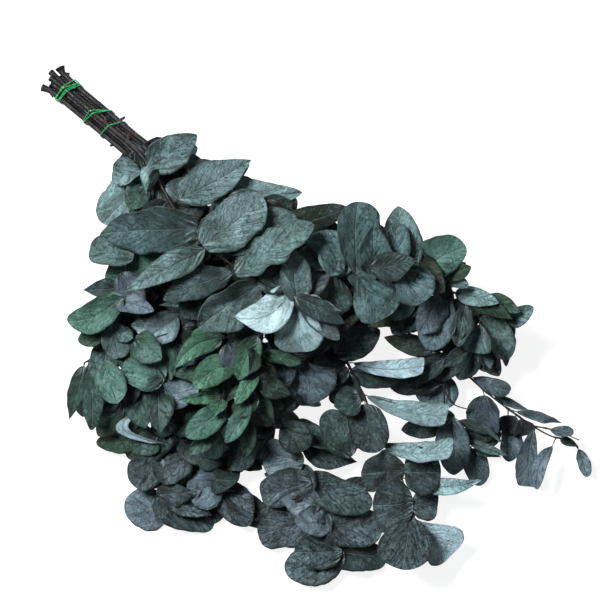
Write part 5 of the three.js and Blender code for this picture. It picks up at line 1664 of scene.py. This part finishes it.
class Branch:
    """One stem of the bunch with all its fine leaves and wood."""

    def __init__(self, number, name, stem):
        self.name = name
        self.woods = [stem_wood(stem)]
        for route in stem["twigs"]:
            self.woods.append(twig_wood(route, self.woods))
        steps = [k / LINE_STEPS for k in range(LINE_STEPS + 1)]
        self.wood_points = np.concatenate([wood.line.places(steps) for wood in self.woods])
        self.extra = make_draw(EXTRA_SEED + number)
        self.draw = make_draw(SHAPE_SEED + number)
        self.leaves = self.packed_leaves(number, stem)
        self.leaves += cover_leaves(self.woods, self.leaves, canopy, self.extra)
        self.leaves += inner_leaves(self.woods, self.leaves, canopy, self.extra)
        self.blades = Sheaf()
        self.bladed = 0
        self.add_blades()

    def packed_leaves(self, number, stem):
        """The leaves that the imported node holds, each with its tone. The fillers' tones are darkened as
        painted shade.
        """
        planned = listed_leaves(stem, self.woods)
        if stem["fillers"]:
            planned += filler_leaves(stem, self.woods, FILLER_SEED + number)
        near = corner_finder(self.name)
        leaves = [leaf for leaf in (as_packed(plan, near) for plan in planned) if leaf]
        leaves = [full_grown(leaf, canopy) if leaf["listed"] else leaf for leaf in leaves]
        toned = [leaf for leaf in leaves if leaf["tone"]] or [{**leaves[0], "tone": DARK}]
        for leaf in leaves:
            if not leaf["tone"]:
                nearest = near_tone(toned, middle_of(leaf))
                # a darker share of the nearest tone: painted shade deep in the bunch
                leaf["tone"] = darker(nearest, between(FILLER_SHADE_SHARES, self.extra()))
        return leaves

    def add_blades(self):
        for leaf in self.leaves[self.bladed:]:
            leaf["chance"] = self.draw()
            leaf["linear"] = [*linear(leaf["tone"]), MARKS.get(leaf["tone"], MARKED)]
            add_blade(self.blades, leaf, self.draw)
        self.bladed = len(self.leaves)

    def fill_holes(self, fine_canopy):
        """Adds leaves over the holes, on the stem past its handle and on its twigs."""
        share = HANDLE_LENGTH / self.woods[0].line.length()
        beyond = self.wood_points[int(share * LINE_STEPS):]
        self.leaves += hole_leaves(beyond, self.leaves, fine_canopy, self.extra)
        self.add_blades()

    def handle_line(self):
        """The stem's middle line as places along, across and up the handle, with its radii."""
        wood = self.woods[0]
        shares = np.linspace(0, (HANDLE_LENGTH + HANDLE_MORE) / wood.line.length(), HANDLE_STEPS)
        points = np.array([handle_place(point) for point in wood.line.places(shares)])
        return points, np.array([wood.radius_at(share) for share in shares]) * WOOD_SLIM

    def build(self):
        """The stem's two fine pieces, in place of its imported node."""
        timber = Sheaf()
        draw = self.draw
        cut_swell = CUT_SWELLS.get(self.name, CUT_SWELL)
        joints = [leaf["joint"] for leaf in self.leaves]
        for wood in self.woods:
            sides = WOOD_SIDES if wood is self.woods[0] else TWIG_SIDES
            add_wood(timber, wood, joints, sides, draw(), cut_swell)
        add_stubs(timber, self.name, self.woods[0], draw())
        for leaf in self.leaves:
            add_stalk(timber, leaf, self.wood_points, draw())
        foliage = self.blades.build(self.name + "_leaves", leaf_look)
        solidify = foliage.modifiers.new("thickness", "SOLIDIFY")
        solidify.thickness = 2 * HALF_SHEET * MM
        solidify.offset = 0
        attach(foliage, "root")
        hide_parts(self.name)
        bark = timber.build(self.name + "_wood", stem_look)
        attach(bark, "root")
        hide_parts(self.name)


canopy = Canopy()
leaf_look = leaf_material()
stem_look = stem_material()
tie_look = tie_material()
branches = [Branch(number, name, stem) for number, (name, stem) in enumerate(STEMS.items())]
canopy.recount(branches)
for branch in branches:
    branch.fill_holes(canopy)
for branch in branches:
    branch.build()

# ---------------------------------------------------------------- ties
#
# The loops of each tie: (along the handle, slant, bulge). Slant is how far one side lies ahead of the
# middle, bulge how far the middle of the upper side lies back.

TIES = {
    "tie_end": [(12.6, 3.2, 1.4), (11.4, 2.8, 1.8), (9.0, 4.6, 2.4), (6.8, 1.2, 1.6)],
    "tie_middle": [(50.5, 7.6, 7), (50.5, 7.2, 3)],
    "tie_neck": [(70.5, 5, 2.6)],
}
STRAND = 0.62                # the radius of one strand
STRAND_SIDES = 10
STRAND_STEP = 0.9
STRAND_PRESS = 0.8           # of the strand's radius: it lies a little into the bark
STRAND_TONE = (0.0, 0.4, 0.1)
HULL_STEPS = 72
LOOP_EXTRA = 0.25            # each further loop lies this much further out
SECTION_REACH = 2            # millimetres along the handle in which a stem counts for a section
UNDER_BULGE = -0.5           # of the bulge, on the underside

handle_lines = [branch.handle_line() for branch in branches]


def wood_section(along):
    """Where each stem's middle lies across and up at one place along the handle, and its radius."""
    section = []
    for points, radii in handle_lines:
        nearest = int(np.argmin(np.abs(points[:, 0] - along)))
        if abs(points[nearest, 0] - along) < SECTION_REACH:
            section.append((points[nearest, 1], points[nearest, 2], radii[nearest]))
    return np.array(section)


def strand_loop(where, slant, bulge, further):
    """The taut path of a strand round the stems. Each point lies at the outermost stem that way."""
    angles = 2 * math.pi * np.arange(HULL_STEPS) / HULL_STEPS
    outs = np.stack([np.cos(angles), np.sin(angles)], axis=1)
    section = wood_section(where)
    best = np.argmax(section[:, :2] @ outs.T + section[:, 2:3], axis=0)
    ring = section[best, :2] + outs * (section[best, 2:3] + STRAND_PRESS * STRAND + further)
    half = np.abs(ring[:, 0]).max()
    points = []
    for across, up in ring:
        side = across / half
        along = where + slant * side - bulge * (1 - side**2) * (1 if up > 0 else UNDER_BULGE)
        points.append(handle_point(along, across, up))
    return np.array(points)


def evenly(points, step):
    """The same closed path with points at even steps, softened a little."""
    closed = np.concatenate([points, points[:1]])
    gone = np.concatenate([[0], np.cumsum(np.linalg.norm(np.diff(closed, axis=0), axis=1))])
    count = round(gone[-1] / step)
    places = np.linspace(0, gone[-1], count, endpoint=False)
    path = np.stack([np.interp(places, gone, closed[:, k]) for k in range(3)], axis=1)
    return (np.roll(path, 1, axis=0) + 2 * path + np.roll(path, -1, axis=0)) / 4


def tie_strands(name, loops):
    """One tie of fine strands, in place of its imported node."""
    strands = Sheaf()
    for number, (where, slant, bulge) in enumerate(loops):
        path = evenly(strand_loop(where, slant, bulge, LOOP_EXTRA * number), STRAND_STEP)
        path = np.concatenate([path, path[:3]])
        add_tube(strands, path, np.full(len(path), STRAND), STRAND_SIDES, STRAND_TONE, 0.5)
    piece = strands.build(name + "_strands", tie_look)
    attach(piece, "root")
    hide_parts(name)


for tie_name, tie_loops in TIES.items():
    tie_strands(tie_name, tie_loops)

# ---------------------------------------------------------------- floor, light and camera

VIEW_PLAN = (300, 300, 0)
VIEW_WIDTH = 0.6
VIEW_LEVEL = 0.04
CAMERA_HEIGHT = 5.0
CAMERA_SEES = 50
SENSOR = 36.0
FLOOR_SIZE = 12.0
FLOOR_DROP = 0.0003
LIGHT_GOAL = 0.05            # the height that the lights face
LIGHTS = [                   # name, place: right, up and high in metres, size, power, colour
    ("key", (-1.5, 1.1, 2.5), 1.1, 208, (1.0, 0.99, 0.97)),
    ("fill", (1.5, 1.2, 2.8), 1.6, 10, (0.95, 0.98, 1.0)),
]
ROOM_COLOUR = (0.95, 0.98, 1.0, 1.0)
ROOM_LIGHT = 0.07

view_point = to_bunch(VIEW_PLAN) * MM
picture_right = Vector((COS_TURN, SIN_TURN, 0))
picture_up = Vector((-SIN_TURN, COS_TURN, 0))


def add_floor():
    bpy.ops.mesh.primitive_plane_add(size=FLOOR_SIZE, location=(view_point[0], view_point[1], -FLOOR_DROP))
    floor = bpy.context.object
    floor.name = "floor"
    floor.data.materials.append(floor_material())


def add_light(name, place, size, power, colour):
    """A square area light that faces the bunch."""
    data = bpy.data.lights.new(name, "AREA")
    data.shape = "SQUARE"
    data.size = size
    data.energy = power
    data.color = colour
    light = bpy.data.objects.new(name, data)
    goal = Vector((view_point[0], view_point[1], LIGHT_GOAL))
    right, up, high = place
    light.location = goal + picture_right * right + picture_up * up + Vector((0, 0, high))
    light.rotation_euler = (goal - light.location).to_track_quat("-Z", "Y").to_euler()
    bpy.context.scene.collection.objects.link(light)


def add_camera():
    """The camera looks straight down. The photo's picture is upright in it."""
    data = bpy.data.cameras.new("camera")
    data.sensor_width = SENSOR
    data.lens = SENSOR * (CAMERA_HEIGHT - VIEW_LEVEL) / VIEW_WIDTH
    data.clip_end = CAMERA_SEES
    camera = bpy.data.objects.new("camera", data)
    camera.matrix_world = Matrix((
        (picture_right.x, picture_up.x, 0, view_point[0]),
        (picture_right.y, picture_up.y, 0, view_point[1]),
        (0, 0, 1, CAMERA_HEIGHT),
        (0, 0, 0, 1),
    ))
    bpy.context.scene.collection.objects.link(camera)
    bpy.context.scene.camera = camera


def add_room():
    world = bpy.data.worlds.new("studio")
    world.use_nodes = True
    background = world.node_tree.nodes["Background"].inputs
    background["Color"].default_value = ROOM_COLOUR
    background["Strength"].default_value = ROOM_LIGHT
    bpy.context.scene.world = world


add_floor()
for settings in LIGHTS:
    add_light(*settings)
add_camera()
add_room()
bpy.context.scene.view_settings.view_transform = "Standard"

bpy.context.view_layer.update()
